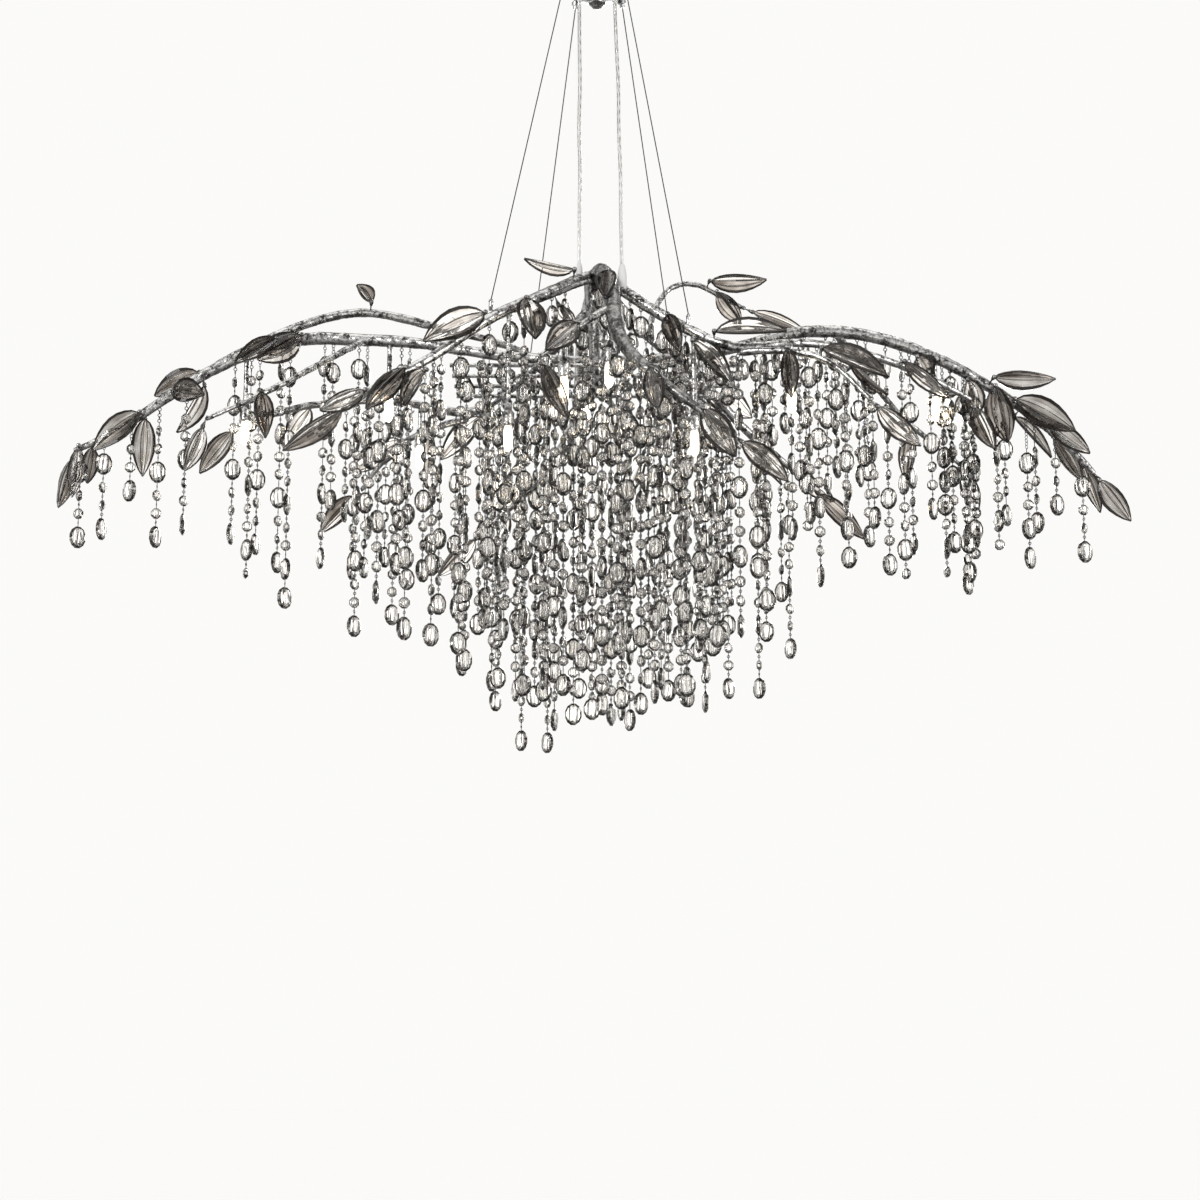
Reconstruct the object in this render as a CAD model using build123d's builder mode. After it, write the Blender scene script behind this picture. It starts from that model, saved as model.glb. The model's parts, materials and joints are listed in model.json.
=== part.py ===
from build123d import *

import math
import os
from itertools import pairwise

os.makedirs("parts", exist_ok=True)

# A crystal chandelier in the form of arching branches. Millimetres, +Z up. The origin is the
# centre of the canopy on the ceiling, and the front of the chandelier faces -Y.

# ---- ceiling canopy -------------------------------------------------------------------------
CANOPY_DIAMETER = 140.0
CANOPY_DEPTH = 38.0
CANOPY_WALL = 1.5
CANOPY_SIDES = 16
DOME_SHARES = (1.0, 0.8, 0.5, 0.2)
BRACKET_LENGTH = 116.0
BRACKET_WIDTH = 22.0
BRACKET_THICKNESS = 2.5
SLOT_SPACING = 88.9
SLOT_LENGTH = 12.0
SLOT_WIDTH = 5.0
STUD_DIAMETER = 10.0
STUD_CLEARANCE = 0.3
STUD_SIDES = 12
FINIAL_DIAMETER = 26.0
FINIAL_HEIGHT = 14.0

# ---- suspension -----------------------------------------------------------------------------
CABLE_DIAMETER = 1.6
GRIPPER_DIAMETER = 8.0
GRIPPER_LENGTH = 26.0
GRIPPER_COLLAR = 13.0
GRIPPER_SIDES = 8
GRIPPER_COLLAR_SEAT = 3.0
GRIPPER_COLLAR_THICKNESS = 3.0
COLLAR_STEP = 0.01
HOLE_CLEARANCE = 0.25
CABLE_STOP_DIAMETER = 6.0
CABLE_STOP_LENGTH = 14.0
CORD_DIAMETER = 5.0
BUSHING_DIAMETER = 11.0
BUSHING_LENGTH = 26.0
GLAND_DIAMETER = 9.0
COLLAR_WALL = 1.0

# Where each cable leaves the canopy (x, y) and the branch and x where it ends.
NEAR_LEFT_EXIT = (-46.0, -34.0)
NEAR_RIGHT_EXIT = (39.0, -34.0)
FAR_LEFT_EXIT = (-31.0, 36.0)
FAR_RIGHT_EXIT = (36.0, 36.0)

# ---- frame ----------------------------------------------------------------------------------
HUB_TOP = -453.0
HUB_BOTTOM = -610.0
HUB_CROWN_RADIUS = 19.0
HUB_TRUNK_RADIUS = 11.0
HUB_SIDES = 12
SPINE_RADIUS = 5.0
ROD_RADIUS = 3.0
ROD_REACH = 206.0
ROW_SPACING = 54.0
ROWS = 4

# ---- lamps ----------------------------------------------------------------------------------
LAMP_STEM_RADIUS = 3.5
SOCKET_DIAMETER = 18.0
SOCKET_HEIGHT = 24.0
SOCKET_RECESS = 9.0
LAMP_SIDES = 6
BULB_DIAMETER = 13.0
BULB_LENGTH = 44.0
BULB_CLEARANCE = 0.4

# ---- crystals -------------------------------------------------------------------------------
SMALL_BEAD = 14.0
OVAL_WIDTH = 23.0
OVAL_DEPTH = 10.0
SMALL_PITCH = 26.3
OVAL_PITCH = 42.4
BEADS_PER_REPEAT = 3
BEAD_GAP = 0.2
HOOK_DIAMETER = 2.4
STRAND_SPACING = 54.0
STRANDS_PER_ROW = 7
ROW_STAGGER = (-20.0, 7.0, -7.0, 20.0)
MIDDLE_BEADS = 16
MIDDLE_HOOK = 14.0
SHORTER_PER_STEP = 0.85
RAGGED = (0, 2, 1, 3, 0, 1, 2)
ROW_TURN = 31.0
TURN_STEP = 137.5

# ---- leaves ---------------------------------------------------------------------------------
LEAF_THICKNESS = 6.0
LEAF_STEM_LENGTH = 11.0
LEAF_STEM_DIAMETER = 3.4

# Seats that meet on a curved or sloping face are this far apart.
SEAT = 0.25


def turned(points):
    """The same points half a turn round the chandelier's axis."""
    return [(-x, -y, z) for x, y, z in points]


def finish(part, name):
    """Name a finished piece and write it."""
    part.label = name
    export_step(part, f"parts/{name}.step")
    print(f"{name}: {len(part.solids())} solids")


def ring(plane, radius, sides):
    """The corners of a regular section on a plane, with a flat side underneath."""
    turns = [(index + 0.5) * 2 * math.pi / sides - math.pi / 2 for index in range(sides)]
    return [plane.from_local_coords(Vector(radius * math.cos(t), radius * math.sin(t))) for t in turns]


def flat_face(*corners):
    """A flat face with the given corners."""
    return Face(Wire.make_polygon(corners, close=True))


def loft_flat(sections):
    """A loft whose sides are all flat, between sections with as many corners, or a point."""
    faces = [flat_face(*section) for section in (sections[0], sections[-1]) if len(section) > 1]
    for lower, upper in pairwise(sections):
        for index in range(max(len(lower), len(upper))):
            after = index + 1
            if len(upper) > 1:
                apex, *base = lower[index % len(lower)], upper[index], upper[after % len(upper)]
                faces.append(flat_face(apex, *base))
            if len(lower) > 1:
                apex, *base = upper[after % len(upper)], lower[index], lower[after % len(lower)]
                faces.append(flat_face(apex, *base))
    return Solid(Shell(faces))


class Branch:
    """A bent, tapering rod through a list of points, with flat sides round it."""

    def __init__(self, points, radii, sides, welded_to=()):
        self.points = [Vector(*point) for point in points]
        self.radii = radii
        self.sides = sides
        run = self.points[-1] - self.points[0]
        level = Vector(run.Y, -run.X, 0).normalized()
        last = len(points) - 1
        sections = []
        for index, (point, radius) in enumerate(zip(self.points, radii)):
            ahead = self.points[min(index + 1, last)] - self.points[max(index - 1, 0)]
            across = level - ahead * (level.dot(ahead) / ahead.dot(ahead))
            sections.append(ring(Plane(origin=point, x_dir=across, z_dir=ahead), radius, sides))
        with BuildPart() as rod:
            add(loft_flat(sections))
            for piece in welded_to:
                add(piece, mode=Mode.SUBTRACT)
        self.part = rod.part

    def at(self, x):
        """Centre, radius and direction where the branch passes x."""
        stretches = zip(pairwise(self.points), pairwise(self.radii))
        for (start, end), (start_radius, end_radius) in stretches:
            if min(start.X, end.X) <= x <= max(start.X, end.X) and start.X != end.X:
                share = (x - start.X) / (end.X - start.X)
                centre = start + (end - start) * share
                radius = start_radius + (end_radius - start_radius) * share
                return centre, radius, (end - start).normalized()
        raise ValueError(f"no part of the branch passes x = {x}")

    def below(self, x):
        """The point of the underside straight below the centre line at x."""
        centre, radius, along = self.at(x)
        drop = radius * math.cos(math.pi / self.sides) / math.sqrt(1 - along.Z**2)
        return Vector(centre.X, centre.Y, centre.Z - drop)


# ---- crystal pieces, made once and copied ---------------------------------------------------
def double_cone(width, depth, height, sides=4):
    """A faceted crystal, pointed at both ends, hanging down from the origin."""
    turns = [index * 2 * math.pi / sides for index in range(sides)]
    girdle = [Vector(width / 2 * math.cos(t), depth / 2 * math.sin(t), -height / 2) for t in turns]
    with BuildPart() as crystal:
        add(loft_flat([[Vector(0, 0, 0)], girdle, [Vector(0, 0, -height)]]))
    return crystal.part


small_bead = double_cone(SMALL_BEAD, SMALL_BEAD, SMALL_PITCH - BEAD_GAP)
oval_bead = double_cone(OVAL_WIDTH, OVAL_DEPTH, OVAL_PITCH - BEAD_GAP)


def strand(top, beads, hook, turn):
    """Places of the hook, the small beads and the ovals of one strand.

    Counted from its lowest bead, which is an oval, every third bead is an oval.
    """
    hooks, smalls, ovals = [(top, hook)], [], []
    height = top.Z - SEAT - hook
    for index in range(beads):
        oval = (beads - 1 - index) % BEADS_PER_REPEAT == 0
        place = Location((top.X, top.Y, height), (0, 0, turn + index * TURN_STEP))
        (ovals if oval else smalls).append(place)
        height -= OVAL_PITCH if oval else SMALL_PITCH
    return hooks, smalls, ovals


def hang(name, strands):
    """Make one node of hanging strands."""
    hooks = [hook for parts in strands for hook in parts[0]]
    lengths = {length for _, length in hooks}
    links = {length: double_cone(HOOK_DIAMETER, HOOK_DIAMETER, length - BEAD_GAP, 3) for length in lengths}
    with BuildPart() as group:
        for top, length in hooks:
            with Locations((top.X, top.Y, top.Z - SEAT)):
                add(links[length])
        with Locations(*[place for parts in strands for place in parts[1]]):
            add(small_bead)
        with Locations(*[place for parts in strands for place in parts[2]]):
            add(oval_bead)
    finish(group.part, name)


# ---- canopy ---------------------------------------------------------------------------------
CANOPY_RADIUS = CANOPY_DIAMETER / 2
DOME_RADIUS = (CANOPY_RADIUS**2 + CANOPY_DEPTH**2) / (2 * CANOPY_DEPTH)
DOME_CENTRE = DOME_RADIUS - CANOPY_DEPTH


def dome_height(radius, wall=0.0):
    """Height of the dome's outer face, or of a face inside it, at a radius."""
    return DOME_CENTRE - math.sqrt((DOME_RADIUS - wall) ** 2 - radius**2)


STUD_HOLE = STUD_DIAMETER / 2 + STUD_CLEARANCE
FINIAL_SEAT = dome_height(FINIAL_DIAMETER / 4) - SEAT


def cable_plane(exit_xy, foot):
    """Plane on the dome's face where a cable leaves, looking down along the cable."""
    start = Vector(*exit_xy, dome_height(math.hypot(*exit_xy)))
    return Plane(origin=start, z_dir=foot - start)


with BuildPart() as ceiling_bracket:
    Box(
        BRACKET_LENGTH,
        BRACKET_WIDTH,
        BRACKET_THICKNESS,
        align=(Align.CENTER, Align.CENTER, Align.MAX),
    )
    with BuildSketch(Plane.XY.offset(-BRACKET_THICKNESS)):
        with Locations((-SLOT_SPACING / 2, 0), (SLOT_SPACING / 2, 0)):
            SlotOverall(SLOT_LENGTH, SLOT_WIDTH)
        RegularPolygon(STUD_HOLE, STUD_SIDES)
    extrude(amount=BRACKET_THICKNESS, mode=Mode.SUBTRACT)
finish(ceiling_bracket.part, "ceiling_bracket")

STUD_FOOT = FINIAL_SEAT - FINIAL_HEIGHT / 2
with BuildPart() as canopy_stud:
    with BuildSketch(Plane.XY.offset(-STUD_CLEARANCE)):
        RegularPolygon(STUD_DIAMETER / 2, STUD_SIDES)
    extrude(amount=STUD_FOOT + STUD_CLEARANCE)
finish(canopy_stud.part, "canopy_stud")

# ---- frame of branches ----------------------------------------------------------------------
# Depth below the top and radius of each level of the hub, a rounded crown on a trunk.
HUB_LEVELS = [
    (3, HUB_CROWN_RADIUS * 0.6),
    (12, HUB_CROWN_RADIUS * 0.92),
    (25, HUB_CROWN_RADIUS),
    (48, HUB_CROWN_RADIUS * 0.95),
    (95, HUB_TRUNK_RADIUS),
    (HUB_TOP - HUB_BOTTOM, HUB_TRUNK_RADIUS),
]
with BuildPart() as crown_hub:
    levels = [ring(Plane.XY.offset(HUB_TOP - depth), radius, HUB_SIDES) for depth, radius in HUB_LEVELS]
    add(loft_flat([[Vector(0, 0, HUB_TOP)], *levels]))
finish(crown_hub.part, "crown_hub")
hub = crown_hub.part

NEAR_CENTRE = [
    (1, -10, -472),
    (4, -50, -470),
    (14, -90, -492),
    (20, -130, -528),
    (23, -180, -583),
    (31, -220, -629),
    (57, -250, -666),
    (94, -275, -706),
    (135, -290, -742),
    (180, -300, -780),
]
NEAR_CENTRE_RADII = [12, 12, 12.5, 13, 12, 10, 8, 6.5, 5, 3.5]
NEAR_LEFT = [
    (-4, -8, -468),
    (-26, -55, -487),
    (-78, -100, -528),
    (-151, -145, -569),
    (-216, -190, -641),
    (-287, -225, -686),
    (-328, -240, -722),
]
NEAR_LEFT_RADII = [9, 9, 8.5, 7.5, 6.5, 5, 3.5]
NEAR_RIGHT = [
    (8, -70, -488),
    (35, -92, -514),
    (74, -115, -550),
    (133, -150, -595),
    (189, -175, -630),
    (257, -165, -612),
    (325, -140, -608),
    (421, -105, -626),
    (480, -85, -648),
    (524, -70, -668),
]
NEAR_RIGHT_RADII = [8, 8, 8, 7, 7, 6, 5.5, 5, 4.5, 3.5]
MAIN_LEFT = [
    (-5, 5, -592),
    (-152, 20, -579),
    (-268, 40, -549),
    (-340, 50, -546),
    (-408, 50, -540),
    (-477, 45, -551),
    (-575, 30, -603),
    (-642, 15, -660),
    (-710, 5, -707),
    (-745, 0, -724),
]
MAIN_LEFT_RADII = [7.5, 7.5, 8, 9, 9.5, 9, 8, 6.5, 5, 3.5]
MAIN_RIGHT = [
    (5, -5, -594),
    (147, -20, -593),
    (232, -30, -570),
    (301, -35, -554),
    (393, -35, -561),
    (497, -30, -600),
    (568, -20, -641),
    (600, -15, -662),
    (663, -5, -708),
    (708, 0, -757),
]
MAIN_RIGHT_RADII = [7.5, 7.5, 8, 9, 9, 8.5, 7.5, 7, 5.5, 3.5]
ARC_LEFT = [
    (-85, 120, -556),
    (-130, 115, -534),
    (-189, 110, -519),
    (-245, 120, -503),
    (-321, 115, -483),
    (-382, 100, -486),
    (-467, 75, -527),
    (-523, 62, -560),
    (-578, 48, -598),
    (-625, 24, -644),
]
ARC_LEFT_RADII = [5, 5, 5.5, 6, 6.5, 6.5, 6.5, 6, 5, 3.5]
FRONT_TWIG = [(18, -165, -563), (-12, -195, -590), (-44, -220, -622), (-76, -240, -655)]
FRONT_TWIG_RADII = [5, 5, 4.5, 3.5]
RIGHT_TWIG = [(192, -174, -630), (238, -200, -634), (284, -225, -646), (317, -240, -663), (362, -260, -721)]
RIGHT_TWIG_RADII = [5, 5, 4.5, 4, 3]
LOWER_TWIG = [(-338, 49, -546), (-358, 0, -573), (-418, -60, -629), (-456, -90, -661), (-537, -130, -712)]
LOWER_RIGHT_TWIG = [(338, -36, -558), *turned(LOWER_TWIG)[1:]]
LOWER_TWIG_RADII = [5, 5, 4.5, 4, 3]
CURL = [
    (74, 97, -525),
    (80, 118, -496),
    (91, 137, -459),
    (108, 147, -434),
    (131, 150, -425),
    (158, 150, -428),
    (188, 150, -449),
    (223, 150, -466),
]
CURL_RADII = [4.5, 4.5, 4.5, 4.5, 4.5, 4.2, 3.8, 3]

near_centre = Branch(NEAR_CENTRE, NEAR_CENTRE_RADII, 8, [hub])
far_centre = Branch(turned(NEAR_CENTRE), NEAR_CENTRE_RADII, 8, [hub])
near_left = Branch(NEAR_LEFT, NEAR_LEFT_RADII, 8, [hub, near_centre.part])
far_right = Branch(turned(NEAR_LEFT), NEAR_LEFT_RADII, 8, [hub, far_centre.part])
near_right = Branch(NEAR_RIGHT, NEAR_RIGHT_RADII, 8, [hub, near_centre.part])
far_left = Branch(turned(NEAR_RIGHT), NEAR_RIGHT_RADII, 8, [hub, far_centre.part])
main_left = Branch(MAIN_LEFT, MAIN_LEFT_RADII, 8, [hub])
main_right = Branch(MAIN_RIGHT, MAIN_RIGHT_RADII, 8, [hub])
arc_left = Branch(ARC_LEFT, ARC_LEFT_RADII, 8, [far_left.part, main_left.part])
front_twig = Branch(FRONT_TWIG, FRONT_TWIG_RADII, 6, [near_centre.part])
back_twig = Branch(turned(FRONT_TWIG), FRONT_TWIG_RADII, 6, [far_centre.part])
right_twig = Branch(RIGHT_TWIG, RIGHT_TWIG_RADII, 6, [near_right.part])
left_twig = Branch(turned(RIGHT_TWIG), RIGHT_TWIG_RADII, 6, [far_left.part])
lower_left_twig = Branch(LOWER_TWIG, LOWER_TWIG_RADII, 6, [main_left.part])
lower_right_twig = Branch(LOWER_RIGHT_TWIG, LOWER_TWIG_RADII, 6, [main_right.part])
curl = Branch(CURL, CURL_RADII, 6, [far_right.part])

BRANCHES = {
    "near_centre_branch": near_centre,
    "near_left_branch": near_left,
    "near_right_branch": near_right,
    "far_centre_branch": far_centre,
    "far_left_branch": far_left,
    "far_right_branch": far_right,
    "main_left_branch": main_left,
    "main_right_branch": main_right,
    "arc_left_branch": arc_left,
}
for name, branch in BRANCHES.items():
    finish(branch.part, name)

TWIGS = [front_twig, back_twig, right_twig, left_twig, lower_left_twig, lower_right_twig, curl]
with BuildPart() as side_twigs:
    add([twig.part for twig in TWIGS])
finish(side_twigs.part, "side_twigs")

# A spine bar under the trunk carries the rods that the middle strands hang from.
ROW_PLACES = [(row - (ROWS - 1) / 2) * ROW_SPACING for row in range(ROWS)]
FLAT = math.cos(math.pi / 6)
SPINE_HEIGHT = HUB_BOTTOM - SPINE_RADIUS * FLAT
ROD_HEIGHT = SPINE_HEIGHT - (SPINE_RADIUS + ROD_RADIUS) * FLAT
SPINE_REACH = ROW_PLACES[-1] + 2 * ROD_RADIUS
with BuildPart() as strand_rods:
    with BuildSketch(Plane(origin=(0, -SPINE_REACH, SPINE_HEIGHT), x_dir=(1, 0, 0), z_dir=(0, 1, 0))):
        RegularPolygon(SPINE_RADIUS, 6)
    extrude(amount=2 * SPINE_REACH)
    for row in ROW_PLACES:
        with BuildSketch(Plane(origin=(-ROD_REACH, row, ROD_HEIGHT), x_dir=(0, 1, 0), z_dir=(1, 0, 0))):
            RegularPolygon(ROD_RADIUS, 6)
        extrude(amount=2 * ROD_REACH)
finish(strand_rods.part, "strand_rods")

# ---- cables and power cords -----------------------------------------------------------------
CABLES = {
    "suspension_cable_near_left": (NEAR_LEFT_EXIT, near_left, -146),
    "suspension_cable_near_right": (NEAR_RIGHT_EXIT, near_right, 126),
    "suspension_cable_far_left": (FAR_LEFT_EXIT, far_left, -100),
    "suspension_cable_far_right": (FAR_RIGHT_EXIT, far_right, 110),
}


def cable_foot(branch, x):
    """The top of the stop that stands on a branch and holds a cable."""
    centre, radius, along = branch.at(x)
    return centre + Vector(0, 0, radius / math.sqrt(1 - along.Z**2) + CABLE_STOP_LENGTH)


def stacked(plane, levels, sides):
    """A faceted turning on a plane: distance along its axis and radius of each level."""
    return loft_flat([ring(plane.offset(distance), radius, sides) for distance, radius in levels])


grippers, stops = [], []
for exit_xy, branch, x in CABLES.values():
    foot = cable_foot(branch, x)
    levels = [
        (-GRIPPER_LENGTH / 2, GRIPPER_DIAMETER / 2),
        (GRIPPER_COLLAR_SEAT, GRIPPER_DIAMETER / 2),
        (GRIPPER_COLLAR_SEAT + COLLAR_STEP, GRIPPER_COLLAR / 2),
        (GRIPPER_COLLAR_SEAT + GRIPPER_COLLAR_THICKNESS, GRIPPER_COLLAR / 2),
        (GRIPPER_LENGTH / 2, GRIPPER_DIAMETER / 3),
    ]
    grippers.append(stacked(cable_plane(exit_xy, foot), levels, GRIPPER_SIDES))
    levels = [
        (-CABLE_STOP_LENGTH - CABLE_STOP_DIAMETER, CABLE_STOP_DIAMETER / 2),
        (-CABLE_STOP_DIAMETER, CABLE_STOP_DIAMETER / 2),
        (0, CABLE_STOP_DIAMETER / 3),
    ]
    stops.append(stacked(Plane(origin=foot), levels, 6))

with BuildPart() as cable_grippers:
    add(grippers)
finish(cable_grippers.part, "cable_grippers")

with BuildPart() as cable_stops:
    add(stops)
    add([branch.part for _, branch, _ in CABLES.values()], mode=Mode.SUBTRACT)
finish(cable_stops.part, "cable_stops")

for name, (exit_xy, branch, x) in CABLES.items():
    foot = cable_foot(branch, x)
    gripper = cable_plane(exit_xy, foot)
    start = gripper.origin + gripper.z_dir * (GRIPPER_LENGTH / 2)
    with BuildPart() as cable:
        with BuildSketch(Plane(origin=start, z_dir=gripper.z_dir)):
            RegularPolygon(CABLE_DIAMETER / 2, 8)
        extrude(amount=(foot - start).length - SEAT)
    finish(cable.part, name)

LEFT_CORD = [
    (-26.0, -14.0, -46.0),
    (-26.0, -18.0, -112.0),
    (-24.5, -27.0, -182.0),
    (-26.5, -36.0, -252.0),
    (-24.0, -45.0, -322.0),
    (-25.5, -52.0, -392.0),
    (-25.0, -55.0, -462.0),
]
RIGHT_CORD = [
    (26.0, -14.0, -46.0),
    (28.0, -22.0, -118.0),
    (31.5, -35.0, -190.0),
    (31.0, -50.0, -262.0),
    (34.0, -64.0, -334.0),
    (33.5, -77.0, -406.0),
    (35.0, -92.0, -480.0),
]
CORDS = {"power_cord_left": (LEFT_CORD, near_left), "power_cord_right": (RIGHT_CORD, near_right)}
LARGEST_ARC = 0.45


def cord_path(points):
    """Straight runs joined by arcs as large as the runs allow."""
    corners = [Vector(*point) for point in points]
    radii = []
    for before, corner, after in zip(corners, corners[1:], corners[2:]):
        turn = (corner - before).get_angle(after - corner)
        shorter = min((corner - before).length, (after - corner).length)
        radii.append(LARGEST_ARC * shorter / math.tan(math.radians(turn / 2)))
    print("cord radii", [round(radius) for radius in radii])
    return FilletPolyline(*points, radius=radii)


for name, (points, branch) in CORDS.items():
    with BuildPart() as cord:
        with BuildLine():
            path = cord_path(points)
        with BuildSketch(Plane(origin=path @ 0, z_dir=path % 0)):
            RegularPolygon(CORD_DIAMETER / 2, 6)
        sweep(path=path)
    print(name, "length", round(path.length, 1))
    finish(cord.part, name)


def collar(point, towards, length, diameter):
    """A faceted collar that starts at a cord's end and points away from the cord."""
    levels = [(0, CORD_DIAMETER / 2 + COLLAR_WALL), (length / 2, diameter / 2), (length, diameter / 2)]
    return stacked(Plane(origin=point, z_dir=towards), levels, 8)


bushings, glands = [], []
for points, branch in CORDS.values():
    start, end = Vector(*points[0]), Vector(*points[-1])
    upward = (start - Vector(*points[1])).normalized()
    downward = (end - Vector(*points[-2])).normalized()
    bushings.append(collar(start, upward, BUSHING_LENGTH, BUSHING_DIAMETER))
    glands.append(collar(end, downward, end.Z - branch.at(end.X)[0].Z, GLAND_DIAMETER))

with BuildPart() as cord_bushings:
    add(bushings)
finish(cord_bushings.part, "cord_bushings")

with BuildPart() as cord_glands:
    add(glands)
    add([branch.part for _, branch in CORDS.values()], mode=Mode.SUBTRACT)
finish(cord_glands.part, "cord_glands")


def dome(wall):
    """A faceted dome from the ceiling down to a point, inside the canopy's face by its wall."""
    radii = [math.sqrt((DOME_RADIUS - wall) ** 2 - DOME_CENTRE**2) * share for share in DOME_SHARES]
    levels = [ring(Plane.XY.offset(dome_height(radius, wall)), radius, CANOPY_SIDES) for radius in radii]
    return loft_flat([*levels, [Vector(0, 0, wall - CANOPY_DEPTH)]])


with BuildPart() as canopy_cover:
    add(dome(0))
    add(dome(CANOPY_WALL), mode=Mode.SUBTRACT)
    with BuildSketch():
        RegularPolygon(STUD_HOLE, STUD_SIDES)
    extrude(amount=-CANOPY_DEPTH, mode=Mode.SUBTRACT)
    for exit_xy, branch, x in CABLES.values():
        gripper = cable_plane(exit_xy, cable_foot(branch, x))
        bore = GRIPPER_DIAMETER / 2 + HOLE_CLEARANCE
        levels = [(-GRIPPER_LENGTH / 2, bore), (GRIPPER_LENGTH / 2, bore)]
        add(stacked(gripper, levels, GRIPPER_SIDES), mode=Mode.SUBTRACT)
    add(bushings, mode=Mode.SUBTRACT)
finish(canopy_cover.part, "canopy_cover")

# Depth below the dome and radius of each level of the turned knob.
FINIAL_LEVELS = [
    (SEAT, FINIAL_DIAMETER / 4),
    (FINIAL_HEIGHT * 0.35, FINIAL_DIAMETER / 2),
    (FINIAL_HEIGHT * 0.8, FINIAL_DIAMETER / 3),
    (FINIAL_HEIGHT, FINIAL_DIAMETER / 8),
]
with BuildPart() as canopy_finial:
    add(loft_flat([ring(Plane.XY.offset(FINIAL_SEAT - d), r, HUB_SIDES) for d, r in FINIAL_LEVELS]))
    with BuildSketch(Plane.XY.offset(FINIAL_SEAT)):
        RegularPolygon(STUD_HOLE, STUD_SIDES)
    extrude(amount=STUD_FOOT - STUD_CLEARANCE - FINIAL_SEAT, mode=Mode.SUBTRACT)
finish(canopy_finial.part, "canopy_finial")

# ---- lamps ----------------------------------------------------------------------------------
# Branch, x on the branch and the height of the middle of the bulb.
LAMPS = [
    (main_left, -509, -684),
    (main_left, -302, -648),
    (near_left, -122, -735),
    (front_twig, -44, -692),
    (near_centre, 17, -640),
    (near_right, 133, -748),
    (near_right, 265, -690),
    (main_right, 480, -668),
    (far_right, 122, -735),
    (far_centre, -17, -640),
    (far_left, -133, -748),
    (far_left, -265, -690),
]
SOCKET_MOUTH = BULB_LENGTH / 2 - SOCKET_RECESS
SOCKET_LEVELS = [
    (SOCKET_MOUTH, SOCKET_DIAMETER / 2),
    (SOCKET_MOUTH + SOCKET_HEIGHT * 0.75, SOCKET_DIAMETER / 2),
    (SOCKET_MOUTH + SOCKET_HEIGHT, SOCKET_DIAMETER / 3),
]
# The bulb's end inside the socket, its shoulder and its rounded foot.
BULB_LEVELS = [
    (BULB_LENGTH / 2, BULB_DIAMETER / 2),
    (-BULB_LENGTH * 0.35, BULB_DIAMETER / 2),
    (-BULB_LENGTH / 2, BULB_DIAMETER / 5),
]
stems, sockets, glass = [], [], []
for branch, x, glow in LAMPS:
    centre = branch.at(x)[0]
    middle = Plane(origin=(centre.X, centre.Y, glow))
    top = SOCKET_MOUTH + SOCKET_HEIGHT
    stem = [(top, LAMP_STEM_RADIUS), (centre.Z - glow, LAMP_STEM_RADIUS)]
    stems.append(stacked(middle, stem, LAMP_SIDES))
    recess = [(SOCKET_MOUTH, BULB_DIAMETER / 2 + BULB_CLEARANCE)]
    recess.append((BULB_LENGTH / 2 + SEAT, BULB_DIAMETER / 2 + BULB_CLEARANCE))
    sockets.append((stacked(middle, SOCKET_LEVELS, LAMP_SIDES), stacked(middle, recess, LAMP_SIDES)))
    glass.append(stacked(middle, BULB_LEVELS, LAMP_SIDES))

with BuildPart() as lamp_stems:
    add(stems)
    add([branch.part for branch in {id(lamp[0]): lamp[0] for lamp in LAMPS}.values()], mode=Mode.SUBTRACT)
finish(lamp_stems.part, "lamp_stems")

with BuildPart() as lamp_sockets:
    add([cup for cup, _ in sockets])
    add([recess for _, recess in sockets], mode=Mode.SUBTRACT)
finish(lamp_sockets.part, "lamp_sockets")

with BuildPart() as bulbs:
    add(glass)
finish(bulbs.part, "bulbs")

# ---- leaves ---------------------------------------------------------------------------------
SIDES = {
    "front": Vector(0, -1, 0),
    "back": Vector(0, 1, 0),
    "under": Vector(0, 0, -1),
    "low_front": Vector(0, -1, -1),
    "low_back": Vector(0, 1, -1),
    "high_front": Vector(0, -1, 0.7),
    "high_back": Vector(0, 1, 0.7),
}
# Shares of a leaf's length and of its width where its two girdles lie.
LEAF_BELLY = (0.28, 0.92)
LEAF_SHOULDER = (0.6, 0.84)
LEAF_STEM_SWELL = 0.7
# A leaf whose face would turn away with its stem faces the front instead.
LEAF_FACING = Vector(0, -1, 0.2)
LEAST_FACING = 0.4


def pointed(base, tip, sections):
    """A crystal with a point at each end and flat sides between its sections."""
    girdles = []
    for plane, width, depth in sections:
        corners = [(width / 2, 0), (0, depth / 2), (-width / 2, 0), (0, -depth / 2)]
        girdles.append([plane.from_local_coords(Vector(*corner)) for corner in corners])
    return loft_flat([[base], *girdles, [tip]])


def leaf(branch, x, side, reach, width):
    """A stem standing on the branch at x and the glass blade that it carries."""
    reach = Vector(*reach)
    along_leaf = reach.normalized()
    centre, radius, along = branch.at(x)
    if side == "tip":
        centre, radius, away = branch.points[-1], 0.0, along_leaf
    else:
        away = SIDES[side]
        away = (away - along * away.dot(along)).normalized()
    foot = centre + away * (radius + SEAT / 2)
    base = foot + away * LEAF_STEM_LENGTH
    flat = away - along_leaf * away.dot(along_leaf)
    if flat.length < LEAST_FACING:
        flat = LEAF_FACING - along_leaf * LEAF_FACING.dot(along_leaf)
    across = flat.cross(along_leaf).normalized()
    sections = []
    for length_share, width_share in (LEAF_BELLY, LEAF_SHOULDER):
        plane = Plane(origin=base + reach * length_share, x_dir=across, z_dir=along_leaf)
        sections.append((plane, width * width_share, LEAF_THICKNESS * width_share))
    blade = pointed(base, base + reach, sections)
    stem_plane = Plane(origin=foot + away * (LEAF_STEM_LENGTH * LEAF_STEM_SWELL), z_dir=away)
    stem_end = base - away * SEAT
    stem = loft_flat([[foot], ring(stem_plane, LEAF_STEM_DIAMETER / 2, 3), [stem_end]])
    return stem, blade


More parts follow.
